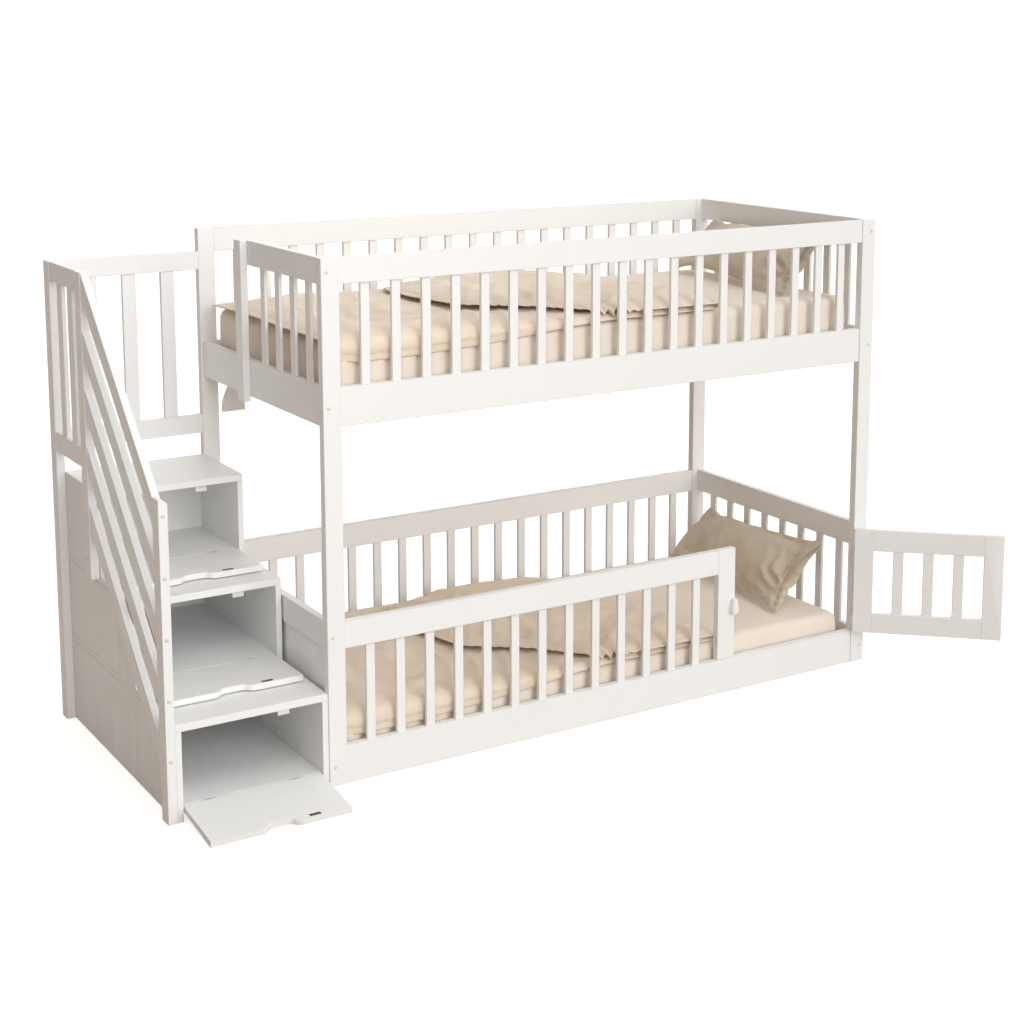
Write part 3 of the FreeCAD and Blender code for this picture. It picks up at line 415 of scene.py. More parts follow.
hinge_steel = make_steel("hinge_steel", (0.55, 0.54, 0.52, 1), 0.34)
strike_steel = make_steel("strike_steel", (0.16, 0.15, 0.14, 1), 0.42)
latch_plastic = make_plastic("latch_plastic", (0.86, 0.86, 0.85, 1), 0.35)
cap_plastic = make_plastic("cap_plastic", (0.75, 0.69, 0.62, 1), 0.45)
catch_plastic = make_plastic("catch_plastic", (0.84, 0.84, 0.83, 1), 0.40)
print("metals and plastics ready")

# %% [markdown]
# ## The boards
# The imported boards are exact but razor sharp. Each gets its paint by the way it runs, and a small
# rounded edge. The stored triangles are first welded into one skin, so that the rounding follows
# the real edges and not the seams between triangles.

# %% Which way each board runs
UPRIGHT_STARTS = ("post_", "gate_frame", "gate_slats")
UPRIGHT_ENDS = ("_post", "_sides", "_backs", "_board", "_guard_slats")
UPRIGHT_Z = tuple(n for n in NODES if n.startswith(UPRIGHT_STARTS) or n.endswith(UPRIGHT_ENDS))
ALONG_X = (
    "lower_side_rails", "upper_side_rails", "lower_front_guard_rail", "lower_back_guard_rail",
    "upper_side_guard_rails", "stair_guard_rails", "treads", "crate_floors", "flap_1", "flap_2",
    "flap_3",
)
ACROSS_Y = ("lower_end_rails", "upper_end_guard_rails", "upper_end_rails", "lower_end_guard_rails",
            "lower_left_panel")
PINE_NODES = ("deck_slats", "deck_ledgers")
BOARD_ROUND = 1.3 * MM
WELD_REACH = 0.01 * MM
EDGE_TURN_DEG = 28  # surfaces that meet at more than this have an edge to round


def dress(names, finish, width=BOARD_ROUND, segments=2):
    """Give nodes a finish and rounded edges."""
    for name in names:
        node = NODES[name]
        node.data.materials.clear()
        node.data.materials.append(finish)
        node.modifiers.new("weld", "WELD").merge_threshold = WELD_REACH
        rounding = node.modifiers.new("rounding", "BEVEL")
        rounding.width = width
        rounding.segments = segments
        rounding.limit_method = "ANGLE"
        rounding.angle_limit = math.radians(EDGE_TURN_DEG)
        rounding.harden_normals = True


# %% Paint the boards and round their edges
dress(ALONG_X, paint_along)
dress(ACROSS_Y, paint_across)
dress(UPRIGHT_Z, paint_upright)
dress(("handrails",), paint_rising)
dress(PINE_NODES, slat_pine)
print("boards dressed:", len(ALONG_X + ACROSS_Y + UPRIGHT_Z + PINE_NODES) + 1)

# %% Finish the catches, latch and hinges
HINGE_NODES = ("gate_hinge_leaves", "gate_hinge_post_leaves", "gate_hinge_pins",
               "flap_hinge_floor_leaves", "flap_hinge_pins")
STRIKE_NODES = ("flap_1_hardware", "flap_2_hardware", "flap_3_hardware")
dress(("magnet_catches",), catch_plastic, 1.5 * MM, 3)
dress(("latch_base",), latch_plastic, 1.6 * MM, 3)
dress(("latch_lever",), latch_plastic, 2.6 * MM, 4)
dress(HINGE_NODES, hinge_steel, 0.15 * MM, 1)
dress(STRIKE_NODES, strike_steel, 0.15 * MM, 1)
print("fittings dressed:", 3 + len(HINGE_NODES) + len(STRIKE_NODES))

# %% [markdown]
# ## Small fittings
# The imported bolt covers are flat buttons. Real ones are low domes, turned from one profile, so each
# button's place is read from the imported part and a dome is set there. The dome faces outwards,
# away from the middle of the bed. The gate's hinges get countersunk screws with a cross slot.

# %% Tools for turned and joined meshes
def link_mesh(name, points, faces, finish):
    """A new smooth piece from points and faces, with its finish."""
    mesh = new_mesh(name, points, faces)
    mesh.validate()
    mesh.materials.append(finish)
    mesh.polygons.foreach_set("use_smooth", [True] * len(mesh.polygons))
    return new_object(name, mesh)


def turned(profile, steps):
    """A profile of (radius, height) from the crown to the base, turned about Z and closed."""
    points = [(0.0, 0.0, profile[0][1])]
    for radius, height in profile[1:]:
        for k in range(steps):
            turn = 2 * math.pi * k / steps
            points.append((radius * math.cos(turn), radius * math.sin(turn), height))
    faces = [(0, 1 + k, 1 + (k + 1) % steps) for k in range(steps)]
    for ring in range(len(profile) - 2):
        start = 1 + ring * steps
        for k in range(steps):
            after = (k + 1) % steps
            faces.append((start + k, start + steps + k, start + steps + after, start + after))
    base = 1 + (len(profile) - 2) * steps
    faces.append(tuple(base + k for k in reversed(range(steps))))
    return np.array(points), faces


def repeated(shape, places):
    """One mesh of many copies of (points, faces), each moved to (place, the way its top faces)."""
    points, faces = [], []
    for place, way in places:
        start = len(points)
        facing = np.array(Vector(way).to_track_quat("Z", "Y").to_matrix())
        points.extend(shape[0] @ facing.T + np.array(place))
        faces.extend(tuple(start + i for i in face) for face in shape[1])
    return points, faces


# %% Set a dome on every bolt
COVER_PROFILE = tuple((r * MM, h * MM) for r, h in (
    (0, 2.5), (1.8, 2.42), (3.6, 2.15), (5.0, 1.65), (5.9, 1.05), (6.4, 0.45), (6.5, 0.1),
    (6.4, 0.0),
))
COVER_STEPS = 28
BUTTON_WIDE = 16 * MM  # points closer than this belong to one button
BED_MIDDLE = (1.0, 0.466)


def button_places(node):
    """The middle of each button's base and the way it faces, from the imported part's points."""
    groups = []
    for point in np.array([v.co[:] for v in NODES[node].data.vertices]):
        near = next((g for g in groups if np.abs(g[0] - point).max() < BUTTON_WIDE), None)
        if near is None:
            groups.append([point])
        else:
            near.append(point)
    places = []
    for group in groups:
        low, high = np.min(group, axis=0), np.max(group, axis=0)
        axis = int(np.argmin(high - low))
        place = (low + high) / 2
        outward = -1.0 if place[axis] < BED_MIDDLE[axis] else 1.0
        place[axis] = high[axis] if outward < 0 else low[axis]
        way = np.zeros(3)
        way[axis] = outward
        places.append((place, way))
    return places


buttons = button_places("bolt_caps")
dome = turned(COVER_PROFILE, COVER_STEPS)
covers = link_mesh("bolt_covers", *repeated(dome, buttons), cap_plastic)
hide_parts("bolt_caps")
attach(covers, "bed")
print("bolt covers:", len(buttons))

# %% Cut the screws
SCREW_R = 3.4 * MM
SCREW_H = 0.9 * MM
SCREW_RINGS = (0.0, 0.18, 0.36, 0.54, 0.72, 0.88, 1.0)
RIM_DROP = 0.75  # the head's dome falls by this share of its height at the rim
SLOT_HALF = 0.16  # half width of the cross slot, as a share of the head's radius
SLOT_REACH = 0.68
SLOT_DEEP = 0.55 * MM
SCREW_STEPS = 32


def screw_head():
    """A low domed head with a cross slot pressed into it."""
    profile = [(SCREW_R * r, SCREW_H * (1 - RIM_DROP * r * r)) for r in SCREW_RINGS]
    points, faces = turned(profile + [(SCREW_R, 0.0)], SCREW_STEPS)
    x, y = np.abs(points[:, 0]) / SCREW_R, np.abs(points[:, 1]) / SCREW_R
    slotted = (np.minimum(x, y) < SLOT_HALF) & (np.maximum(x, y) < SLOT_REACH)
    points[slotted & (points[:, 2] > 0), 2] -= SLOT_DEEP
    return points, faces


# %% Screw the gate's hinges on
GATE_AXIS = Vector((1.9735, -0.01825, 0))
GATE_OPEN_DEG = 137.4
LEAF_FACE = -0.01425 - 1.2 * MM
LEAF_MIDDLE = 12.6 * MM  # from the hinge's axis to the screws
HINGE_MIDDLES = (0.161, 0.447)
SCREW_PLACES = ((-1.6 * MM, -0.021), (1.6 * MM, 0.0), (-1.6 * MM, 0.021))  # across and up


def leaf_screws(side, open_deg):
    """Places for the screws of one leaf of each hinge, on the post's side or the gate's."""
    swing = Matrix.Rotation(math.radians(open_deg), 3, "Z")
    places = []
    for middle in HINGE_MIDDLES:
        for across, rise in SCREW_PLACES:
            reach = Vector((side * (LEAF_MIDDLE + across), LEAF_FACE - GATE_AXIS.y, middle + rise))
            places.append((GATE_AXIS + swing @ reach, swing @ Vector((0, -1, 0))))
    return places


for name, side, open_deg, body in (
    ("post_hinge_screws", 1, 0.0, "bed"), ("gate_hinge_screws", -1, GATE_OPEN_DEG, "gate"),
):
    places = leaf_screws(side, open_deg)
    screws = link_mesh(name, *repeated(screw_head(), places), hinge_steel)
    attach(screws, body)
    print(name, len(places))

# %% [markdown]
# ## Cloth
# The bedding is washed cotton in one warm beige. Close up it is a plain weave: two sets of threads,
# one over and one under. Further off it has slubs, faint streaks of thicker thread, and patches
# where it has been rubbed soft. The weave group supplies all three.

# %% Weave
SLUB_STRETCH = (1.0, 14.0, 14.0)


def make_weave_group():
    sockets = {"Threads": 900.0, "Slub": 25.0}
    group, given, leave = new_group("plain_weave", sockets, ("Thread", "Slubs", "Soft"))
    place = add_node(group, "TexCoord").outputs["Object"]
    x, y, z = add_node(group, "SeparateXYZ", (place,)).outputs
    waves = []
    for way in (x, sum_node(group, "ADD", y, z)):
        turn = sum_node(group, "MULTIPLY", way, given["Threads"])
        waves.append(sum_node(group, "SINE", sum_node(group, "MULTIPLY", turn, 2 * math.pi)))
    over = sum_node(group, "MULTIPLY", *waves)
    drawn = vector_node(group, "MULTIPLY", place, SLUB_STRETCH).outputs[0]
    feed(group, leave, Thread=sum_node(group, "MULTIPLY_ADD", over, 0.5, 0.5),
         Slubs=noise_node(group, drawn, given["Slub"], 4.0), Soft=noise_node(group, place, 7.0))
    return group


WEAVE = make_weave_group()
print("group:", WEAVE.name)

# %% Three cloths
CLOTH_ROUGH = 0.88
THREAD_BUMP = 0.08 * MM
SLUB_HEIGHT = 2.5  # how much higher a slub stands than a thread


def make_cloth(name, colour, shade, threads):
    """A woven cloth: its colour wanders to a shade, and its threads and slubs stand up a little."""
    finish, tree, surface = new_material(name, colour, CLOTH_ROUGH)
    weave = place_group(tree, WEAVE, Threads=threads, Slub=22.0)
    patches = ramp_node(tree, weave["Soft"], 0.35, 0.70, 0.0, 0.55)
    streaks = ramp_node(tree, weave["Slubs"], 0.50, 0.78, 0.0, 0.35)
    body = mix_colour(tree, streaks, mix_colour(tree, patches, colour, shade), shade)
    rough = ramp_node(tree, weave["Soft"], 0.3, 0.7, CLOTH_ROUGH - 0.06, CLOTH_ROUGH + 0.05)
    height = sum_node(tree, "MULTIPLY_ADD", weave["Slubs"], SLUB_HEIGHT, weave["Thread"])
    finish_surface(tree, surface, body, rough, height, THREAD_BUMP)
    feed(tree, surface, Sheen_Weight=0.25, Sheen_Roughness=0.5, Specular_IOR_Level=0.25)
    return finish


mattress_cover = make_cloth("mattress_cover", (0.83, 0.74, 0.645, 1), (0.79, 0.69, 0.585, 1), 1400)
duvet_linen = make_cloth("duvet_linen", (0.81, 0.70, 0.565, 1), (0.76, 0.635, 0.49, 1), 1000)
pillow_linen = make_cloth("pillow_linen", (0.64, 0.555, 0.435, 1), (0.52, 0.44, 0.335, 1), 1000)
print("cloths:", [m.name for m in (mattress_cover, duvet_linen, pillow_linen)])

# %% [markdown]
# ## Mattresses
# A foam mattress in a fitted cover is a block whose corners and edges have been rounded until no
# straight edge is left. The block starts as a skin of small squares, closer together near the
# edges. Every point near a corner is drawn onto a ball, the sides swell at mid height, and slow
# noise adds the slackness of the cover. Behind each guard slat the cover dips in a little.

# %% A skin of squares over a block
def edge_stations(length, rim, fine, coarse):
    """Places along a length: close together near both ends, wider apart between them."""
    near = np.linspace(0, rim, int(round(rim / fine)) + 1)
    middle = np.linspace(rim, length - rim, max(2, int(round((length - 2 * rim) / coarse)) + 1))
    return np.concatenate([near[:-1], middle[:-1], length - near[::-1]])


def block_skin(places):
    """Points and faces over the outside of a block, from its cells' places along X, Y and Z."""
    index, points, faces = {}, [], []

    def point(cell):
        if cell not in index:
            index[cell] = len(points)
            points.append([places[a][cell[a]] for a in range(3)])
        return index[cell]

    for axis in range(3):
        b, c = (axis + 1) % 3, (axis + 2) % 3
        for side in (0, len(places[axis]) - 1):
            for i in range(len(places[b]) - 1):
                for j in range(len(places[c]) - 1):
                    corners = []
                    for di, dj in ((0, 0), (1, 0), (1, 1), (0, 1)):
                        cell = [0, 0, 0]
                        cell[axis], cell[b], cell[c] = side, i + di, j + dj
                        corners.append(point(tuple(cell)))
                    faces.append(corners if side else corners[::-1])
    return np.array(points), faces


def noise_field(points, scale, seed=0.0):
    """Smooth noise about zero at each point; scale is a number or one per axis."""
    shift = Vector((seed, seed * 0.7, 0.0))
    return np.array([noise.noise(Vector(p) + shift) for p in points * np.array(scale, dtype=float)])


# %% Make both mattresses
SPACING = ((0.07, 0.01, 0.012), (0.07, 0.01, 0.028), (0.05, 0.0085, 0.028))
MATTRESS_ROUND = 0.030
MATTRESS_MIDDLE = 0.45  # the height where it is widest, as a share of its thickness
MATTRESS_SWELL = 0.020  # how far the sides draw in for the square of the height from there
MATTRESS_STRETCH = 0.032  # the cover reaches this much nearer to the right end
COVER_SLACK = 0.0022
SLACK_WAVES = ((9, 9, 3), (22, 22, 5))  # broad and narrow: waves to a metre along X, Y and Z
SLAT_WIDTH = 0.030
SLAT_COUNTS = {"lower": 13, "upper": 19}
SLAT_PRESS = 0.013  # how deep the cover dips behind each guard slat
DIP_FADE = 0.050  # the dips fade out over this much below the mattress's top


def slat_dips(level, xs):
    """1 behind each front guard slat and 0 halfway between two, for places along the bed."""
    first, last = (corner[0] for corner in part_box(level + "_front_guard_slats"))
    first, last = first + SLAT_WIDTH / 2, last - SLAT_WIDTH / 2
    pitch = (last - first) / (SLAT_COUNTS[level] - 1)
    within = np.clip((last + pitch / 2 - xs) / (pitch / 2), 0, 1)
    return within * np.cos(np.pi * (xs - first) / pitch) ** 4


def make_mattress(level):
    low, high = (np.array(c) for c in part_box(level + "_mattress"))
    high[0] += MATTRESS_STRETCH
    size = high - low
    points, faces = block_skin([edge_stations(s, *steps) for s, steps in zip(size, SPACING)])
    inner = np.clip(points, MATTRESS_ROUND, size - MATTRESS_ROUND)
    offset = (points - inner) / MATTRESS_ROUND
    reach = np.maximum(np.linalg.norm(offset, axis=1, keepdims=True), 1.0)
    points = inner + offset / reach * MATTRESS_ROUND
    drawn = MATTRESS_SWELL * (points[:, 2] / size[2] - MATTRESS_MIDDLE) ** 2
    for axis in (0, 1):
        share = 2 * points[:, axis] / size[axis] - 1
        points[:, axis] -= np.sign(share) * np.abs(share) ** 6 * drawn
    slack = COVER_SLACK * (0.5 + noise_field(points, SLACK_WAVES[0], 4.0))
    slack += 0.6 * COVER_SLACK * np.abs(noise_field(points, SLACK_WAVES[1], 9.0))
    toward = size * (0.5, 0.5, MATTRESS_MIDDLE) - points
    points += np.sign(toward) * np.abs(2 * points / size - 1) ** 8 * slack[:, None]
    across = 2 * points[:, 1] / size[1] - 1
    dip = SLAT_PRESS * slat_dips(level, low[0] + points[:, 0])
    dip *= np.clip((size[2] - points[:, 2]) / DIP_FADE, 0, 1)
    points[:, 1] -= np.sign(across) * across ** 8 * dip
    piece = link_mesh(level + "_mattress_cover", points + low, faces, mattress_cover)
    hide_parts(level + "_mattress")
    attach(piece, "bed")
    return piece


mattresses = {level: make_mattress(level) for level in LEVELS}
print("mattress points:", len(mattresses["lower"].data.vertices))

# %% [markdown]
# ## Letting cloth settle
# Drawn curves look too even to be cloth. So a short cloth simulation does the last part: the
# cloth is a few percent too big for its shape and buckles into small folds, or a pillow is blown up
# from inside until its seams pucker. Soft springs hold every point near its place, and a cap on
# how far it may move keeps the piece inside its space.

# %% Run a short simulation and read the result
def settle(points, faces, frames, hold=None, **values):
    """Points of a cloth after some frames without gravity; hold is the pull to each one's place."""
    mesh = new_mesh("settling", points, faces)
    cloth_piece = new_object("settling", mesh)
    cloth = cloth_piece.modifiers.new("cloth", "CLOTH")
    settings = cloth.settings
    settings.effector_weights.gravity = 0
    settings.quality = 4
    if hold is not None:
        group = cloth_piece.vertex_groups.new(name="hold")
        for i, weight in enumerate(hold):
            group.add([i], float(weight), "REPLACE")
        settings.vertex_group_mass = "hold"
    for label, value in values.items():
        setattr(settings, label, value)
    cloth.collision_settings.use_collision = False
    cloth.point_cache.frame_start = 1
    cloth.point_cache.frame_end = frames
    for frame_number in range(1, frames + 1):
        bpy.context.scene.frame_set(frame_number)
    ready = cloth_piece.evaluated_get(bpy.context.evaluated_depsgraph_get())
    settled = np.empty(len(points) * 3)
    ready.data.vertices.foreach_get("co", settled)
    bpy.data.objects.remove(cloth_piece)
    bpy.data.meshes.remove(mesh)
    bpy.context.scene.frame_set(1)
    return settled.reshape(-1, 3)


def capped(start, settled, cap):
    """The settled points, each eased back so that none is further than the cap from its start."""
    move = settled - start
    far = np.maximum(np.linalg.norm(move, axis=1, keepdims=True), 1e-9)
    print("moved by", round(float(far.mean()) / MM, 1), "mm, then held within", cap / MM)
    return start + move * cap * np.tanh(far / cap) / far if np.isfinite(move).all() else start


# %% Grids of points for cloth
def close_at_ends(length, count, first=0.004, near=9):
    """Places along a length: a few close together at both ends, and even between them."""
    ends = np.arange(near) * first
    middle = np.linspace(ends[-1], length - ends[-1], count - 2 * near + 2)[1:-1]
    return np.concatenate([ends, middle, length - ends[::-1]])


def smoothed(grid, times):
    """A grid of points averaged with its neighbours along both directions."""
    for _ in range(times):
        for axis in (0, 1):
            even = (np.roll(grid, -1, axis) + np.roll(grid, 1, axis)) / 4 + grid / 2
            inside = [slice(None)] * 3
            inside[axis] = slice(1, -1)
            grid = grid.copy()
            grid[tuple(inside)] = even[tuple(inside)]
    return grid


def grid_faces(rows, columns, start=0, flip=False):
    faces = []
    for i in range(rows - 1):
        for j in range(columns - 1):
            a = start + i * columns + j
            face = (a, a + 1, a + columns + 1, a + columns)
            faces.append(face[::-1] if flip else face)
    return faces


def both_sides(grid, thick):
    """A closed skin round a grid of points, from the thickness at each of them."""
    rows, columns = grid.shape[:2]
    count = rows * columns
    normal = np.cross(np.gradient(grid, axis=0), np.gradient(grid, axis=1))
    normal /= np.maximum(np.linalg.norm(normal, axis=2, keepdims=True), 1e-9)
    top, under = (grid + side * normal * thick / 2 for side in (1, -1))
    faces = grid_faces(rows, columns, 0, True) + grid_faces(rows, columns, count)
    rim = list(range(columns)) + [i * columns + columns - 1 for i in range(1, rows)]
    rim += [(rows - 1) * columns + j for j in range(columns - 2, -1, -1)]
    rim += [i * columns for i in range(rows - 2, 0, -1)]
    faces += [(a, b, b + count, a + count) for a, b in zip(rim, rim[1:] + rim[:1])]
    return np.concatenate([top.reshape(-1, 3), under.reshape(-1, 3)]), faces


print("cloth tools ready; simulation", "on")

# %% [markdown]
# ## Duvets
# Each duvet lies spread over its mattress and its foot end is turned back on itself, in a fold that
# slants across the bed. The turned part's hem wanders over the lower layer. The shape is drawn by
# lines across the bed. Each line has a reach: 0 is the left hem, 1 the hem of the turned part and 2
# the fold. Along a line, heights at a few stations from front to back give the soft hills.

# %% The duvet's lines
DUVET_LEFT = 0.004
DUVET_LONG = 1.386
DUVET_FRONT = 0.009
DUVET_WIDE = 0.879
FOLD_SKEW = 0.206
STATIONS = (0.0, 0.06, 0.21, 0.36, 0.60, 0.79, 0.90, 1.0)
HEM_SHARES = (0.695, 0.648, 0.56, 0.427, 0.387, 0.395, 0.412, 0.60)
LINES = np.array((  # reach, then in mm: inset of the front, drop of its hem, heights
    (0.000, 7.5, 20, 8, 12, 16, 14, 18, 16, 13, 10),
    (0.030, 6.5, 42, 12, 18, 22, 20, 24, 22, 18, 12),
    (0.100, 1.0, 52, 13, 24, 26, 24, 30, 26, 22, 13),
    (0.300, 0.5, 49, 12, 20, 27, 22, 26, 30, 26, 14),
    (0.550, 0.5, 38, 11, 22, 22, 28, 22, 26, 24, 14),
    (0.800, 0.5, 18, 10, 17, 20, 18, 24, 22, 20, 12),
    (1.000, 1.0, 2, 9, 11, 12, 12, 14, 13, 12, 10),
    (1.400, 1.0, -4, 10, 15, 18, 20, 20, 20, 18, 12),
    (1.930, 4.0, -4, 10, 15, 18, 18, 20, 18, 16, 12),
    (2.000, 6.5, -4, 9, 12, 16, 16, 16, 14, 12, 9),
))
TURNED_LINES = np.array((  # the same for the turned part, from its hem to the fold
    (1.00, 2.0, 0, 21, 33, 36, 38, 41, 38, 33, 24),
    (1.03, 1.5, 0, 22, 36, 39, 42, 45, 41, 36, 25),
    (1.10, 1.5, 0, 21, 35, 46, 46, 54, 46, 38, 26),
    (1.20, 1.5, 0, 21, 38, 52, 50, 58, 54, 44, 27),
    (1.45, 2.0, 0, 20, 36, 46, 56, 50, 58, 46, 26),
    (1.75, 2.5, 0, 19, 38, 54, 48, 58, 54, 46, 25),
    (1.93, 5.0, 0, 18, 34, 46, 48, 50, 46, 38, 23),
    (2.00, 7.0, 0, 16, 26, 32, 32, 34, 30, 26, 19),
))
HANG_OUT = (0.013, 0.011, 0.009, 0.022)  # the front hem's way down the mattress's side
HANG_TURN = 0.004


def duvet_sheet(lines, reaches, columns, hanging):
    """Rows of points across the bed, one for each reach, from the front hem to the back hem."""
    rows = []
    for reach in reaches:
        inset, drop, *heights = (np.interp(reach, lines[:, 0], c) * MM for c in lines.T[1:])
        front = DUVET_FRONT + inset
        heights[0] += MM
        ys = [DUVET_FRONT + s * DUVET_WIDE for s in STATIONS[1:]]
        if hanging:
            ys = [front + out for out in HANG_OUT] + ys
            zs = [-drop, -0.5 * drop - HANG_TURN, -HANG_TURN] + heights
        else:
            ys, zs = [front] + ys, heights
        run = np.concatenate([[0], np.cumsum(np.hypot(np.diff(ys), np.diff(zs)))])
        at = close_at_ends(run[-1], columns)
        y, z = np.interp(at, run, ys), np.interp(at, run, zs)
        share = np.clip((y - DUVET_FRONT) / DUVET_WIDE, 0, 1)
        hem = DUVET_LEFT + DUVET_LONG * np.interp(share, STATIONS, HEM_SHARES)
        fold = DUVET_LEFT + DUVET_LONG - FOLD_SKEW * share
        x = DUVET_LEFT + reach * (hem - DUVET_LEFT)
        rows.append(np.stack([x if reach <= 1 else hem + (reach - 1) * (fold - hem), y, z], axis=1))
    return np.array(rows)


print("duvet lines:", len(LINES), "below and", len(TURNED_LINES), "turned")

# %% Hills and creases
HILLS = 0.0055
CREASE = 0.0050
CREASE_WAYS = ((0.55, 3.0), (-0.35, 4.1), (1.05, 5.3))  # slant, and how many to a metre
CREASE_LONG, CREASE_NARROW = 0.45, 1.9
CREASE_STEEP = 2.2
CREASE_PATCHES = 2.2  # patches with creases to a metre


def border_distance(grid):
    """How far each point lies from the nearest edge of the cloth, along the cloth."""
    along = np.linalg.norm(np.diff(grid, axis=0), axis=2)
    across = np.linalg.norm(np.diff(grid, axis=1), axis=2)
    a = np.concatenate([np.zeros((1, grid.shape[1])), np.cumsum(along, axis=0)])
    b = np.concatenate([np.zeros((grid.shape[0], 1)), np.cumsum(across, axis=1)], axis=1)
    return np.minimum(np.minimum(a, a[-1:] - a), np.minimum(b, b[:, -1:] - b))


def creases(points, seed):
    """Sharp-topped ripples that run slantwise and come and go."""
    total = np.zeros(len(points))
    for slant, pitch in CREASE_WAYS:
        c, s = math.cos(slant), math.sin(slant)
        along = (points[:, 0] * c + points[:, 1] * s) * pitch * CREASE_LONG
        over = (-points[:, 0] * s + points[:, 1] * c) * pitch * CREASE_NARROW
        ways = np.stack([along, over, np.full(len(points), seed + slant)], axis=1)
        ridge = 1 - np.abs(CREASE_STEEP * noise_field(ways, 1.0, seed))
        fade = 0.5 + 1.6 * noise_field(points, CREASE_PATCHES, seed + 5 * slant)
        total += np.clip(ridge, 0, 1) ** 3 * np.clip(fade, 0, 1)
    return total


# %% Shape the folded duvet
DUVET_COLUMNS = 104
LOWER_ROWS = (70, 52)  # rows before and after the turned part's hem
TURNED_ROWS = 66
TURNED_LONG = 0.66
FOLD_ROWS = 5
FOLD_OUT = 0.010
HEM_ROWS = 9
CALM_BORDER = 0.12  # hills and creases die out over this much beside the border
HILL_LEVEL = 0.37  # the height at which the noise for the hills is read


def shape_duvet():
    """The middle surface of the duvet as one grid: lower layer, fold, turned part."""
    to_hem = close_at_ends(TURNED_LONG, LOWER_ROWS[0] + HEM_ROWS)[:-HEM_ROWS] / TURNED_LONG
    reaches = np.concatenate([to_hem, np.linspace(to_hem[-1], 2, LOWER_ROWS[1] + 1)[1:]])
    lower = smoothed(duvet_sheet(LINES, reaches, DUVET_COLUMNS, True), 3)
    from_fold = 2 - close_at_ends(TURNED_LONG, TURNED_ROWS) / TURNED_LONG
    turned_part = smoothed(duvet_sheet(TURNED_LINES, from_fold, DUVET_COLUMNS, False), 3)
    bend = []
    for k in range(1, FOLD_ROWS + 1):
        angle = math.pi * k / (FOLD_ROWS + 1)
        share = (1 - math.cos(angle)) / 2
        row = lower[-1] * (1 - share) + turned_part[0] * share
        row[:, 0] += FOLD_OUT * math.sin(angle)
        bend.append(row)
    grid = np.concatenate([lower, np.array(bend), turned_part])
    flat = grid.reshape(-1, 3).copy()
    level = np.stack([flat[:, 0], flat[:, 1], np.full(len(flat), HILL_LEVEL)], axis=1)
    inner = np.clip(border_distance(grid).reshape(-1) / CALM_BORDER, 0.08, 1)
    flat[:, 2] += inner * (HILLS * noise_field(level, 4.5, 2.0) + CREASE * creases(level, 3.0))
    on_top = np.repeat(np.arange(len(grid)) >= len(lower), DUVET_COLUMNS)
    flat[on_top, 2] += (inner * CREASE * creases(level, 11.0))[on_top]
    return flat.reshape(grid.shape)


print("duvet grid:", sum(LOWER_ROWS) + FOLD_ROWS + TURNED_ROWS, "by", DUVET_COLUMNS)

# %% [markdown]
# The front hem of the turned part is not a clean line: its corner is bunched in a ruffle that
# stands away from the mattress. After the cloth has settled, it gets its thickness: plump inside,
# thin at the flat border round the seam. The front hem keeps off the guard slats and the post.

# %% Ruffle the hem and let the cloth settle
RUFFLE_AT, RUFFLE_HALF = 0.985, 0.065  # middle of the bunched corner along the bed
RUFFLE_FOLD = 0.013
RUFFLE_PITCH = 0.030
RUFFLE_DEEP = 0.045
RUFFLE_OUT = 0.6 * RUFFLE_FOLD
DUVET_FRAMES = 16
DUVET_CAP = 0.010
DUVET_EXTRA = -0.025  # the cloth is cut this much larger than its shape
DUVET_CLOTH = dict(bending_stiffness=0.8, tension_stiffness=20, compression_stiffness=20, mass=0.3)
HOLD_AT, HOLD = (0.0, 0.03, 0.10), (0.8, 0.5, 0.10)  # the hold at distances from the border
HOLD_UNDER = 0.7  # the lower layer under the turned part is held more
HOLD_EARLY = 4  # and so are this many rows before it
ON_TOP, ON_TOP_BLEND = 0.055, 0.020  # from here back the duvet lies on the mattress
HANG_ROOM = 0.2  # in front of that it may hang this far down
UNDERSIDE = 0.0070  # the middle surface stays this far above the mattress
SLAT_FACE = 0.0092
POST_FACE, POST_END = 0.0168, 0.036


def ruffle(grid, turned_start):
    """Small upright folds at the front of the turned part, strongest at its corner."""
    for row in grid[turned_start:]:
        near = np.exp(-((row[:, 0] - RUFFLE_AT) / RUFFLE_HALF) ** 2)
        near = near * np.exp(-(row[:, 1] - 0.01) / RUFFLE_DEEP)
        turn = 2 * math.pi * row[:, 0] / RUFFLE_PITCH
        row[:, 2] += RUFFLE_FOLD * near * np.sin(turn)
        row[:, 1] += RUFFLE_OUT * near * (1 + np.cos(turn))
    return grid


def settled_duvet():
    """The duvet's middle surface over a mattress whose top is at zero."""
    grid = ruffle(shape_duvet(), sum(LOWER_ROWS) + FOLD_ROWS)
    flat = grid.reshape(-1, 3)
    hold = np.interp(border_distance(grid), HOLD_AT, HOLD)
    hold[LOWER_ROWS[0] - HOLD_EARLY:sum(LOWER_ROWS)] = HOLD_UNDER
    wrinkled = settle(flat, grid_faces(*grid.shape[:2]), DUVET_FRAMES, hold.reshape(-1),
                      shrink_min=DUVET_EXTRA, **DUVET_CLOTH)
    flat = capped(flat, wrinkled, DUVET_CAP)
    over = np.clip((flat[:, 1] - ON_TOP) / ON_TOP_BLEND, 0, 1)
    flat[:, 2] = np.maximum(flat[:, 2], UNDERSIDE * over - HANG_ROOM * (1 - over))
    front = np.where(flat[:, 0] < POST_END, POST_FACE, SLAT_FACE)
    flat[:, 1] = np.maximum(flat[:, 1], front)
    flat[:, 0] = np.maximum(flat[:, 0], DUVET_LEFT)
    return flat.reshape(grid.shape)


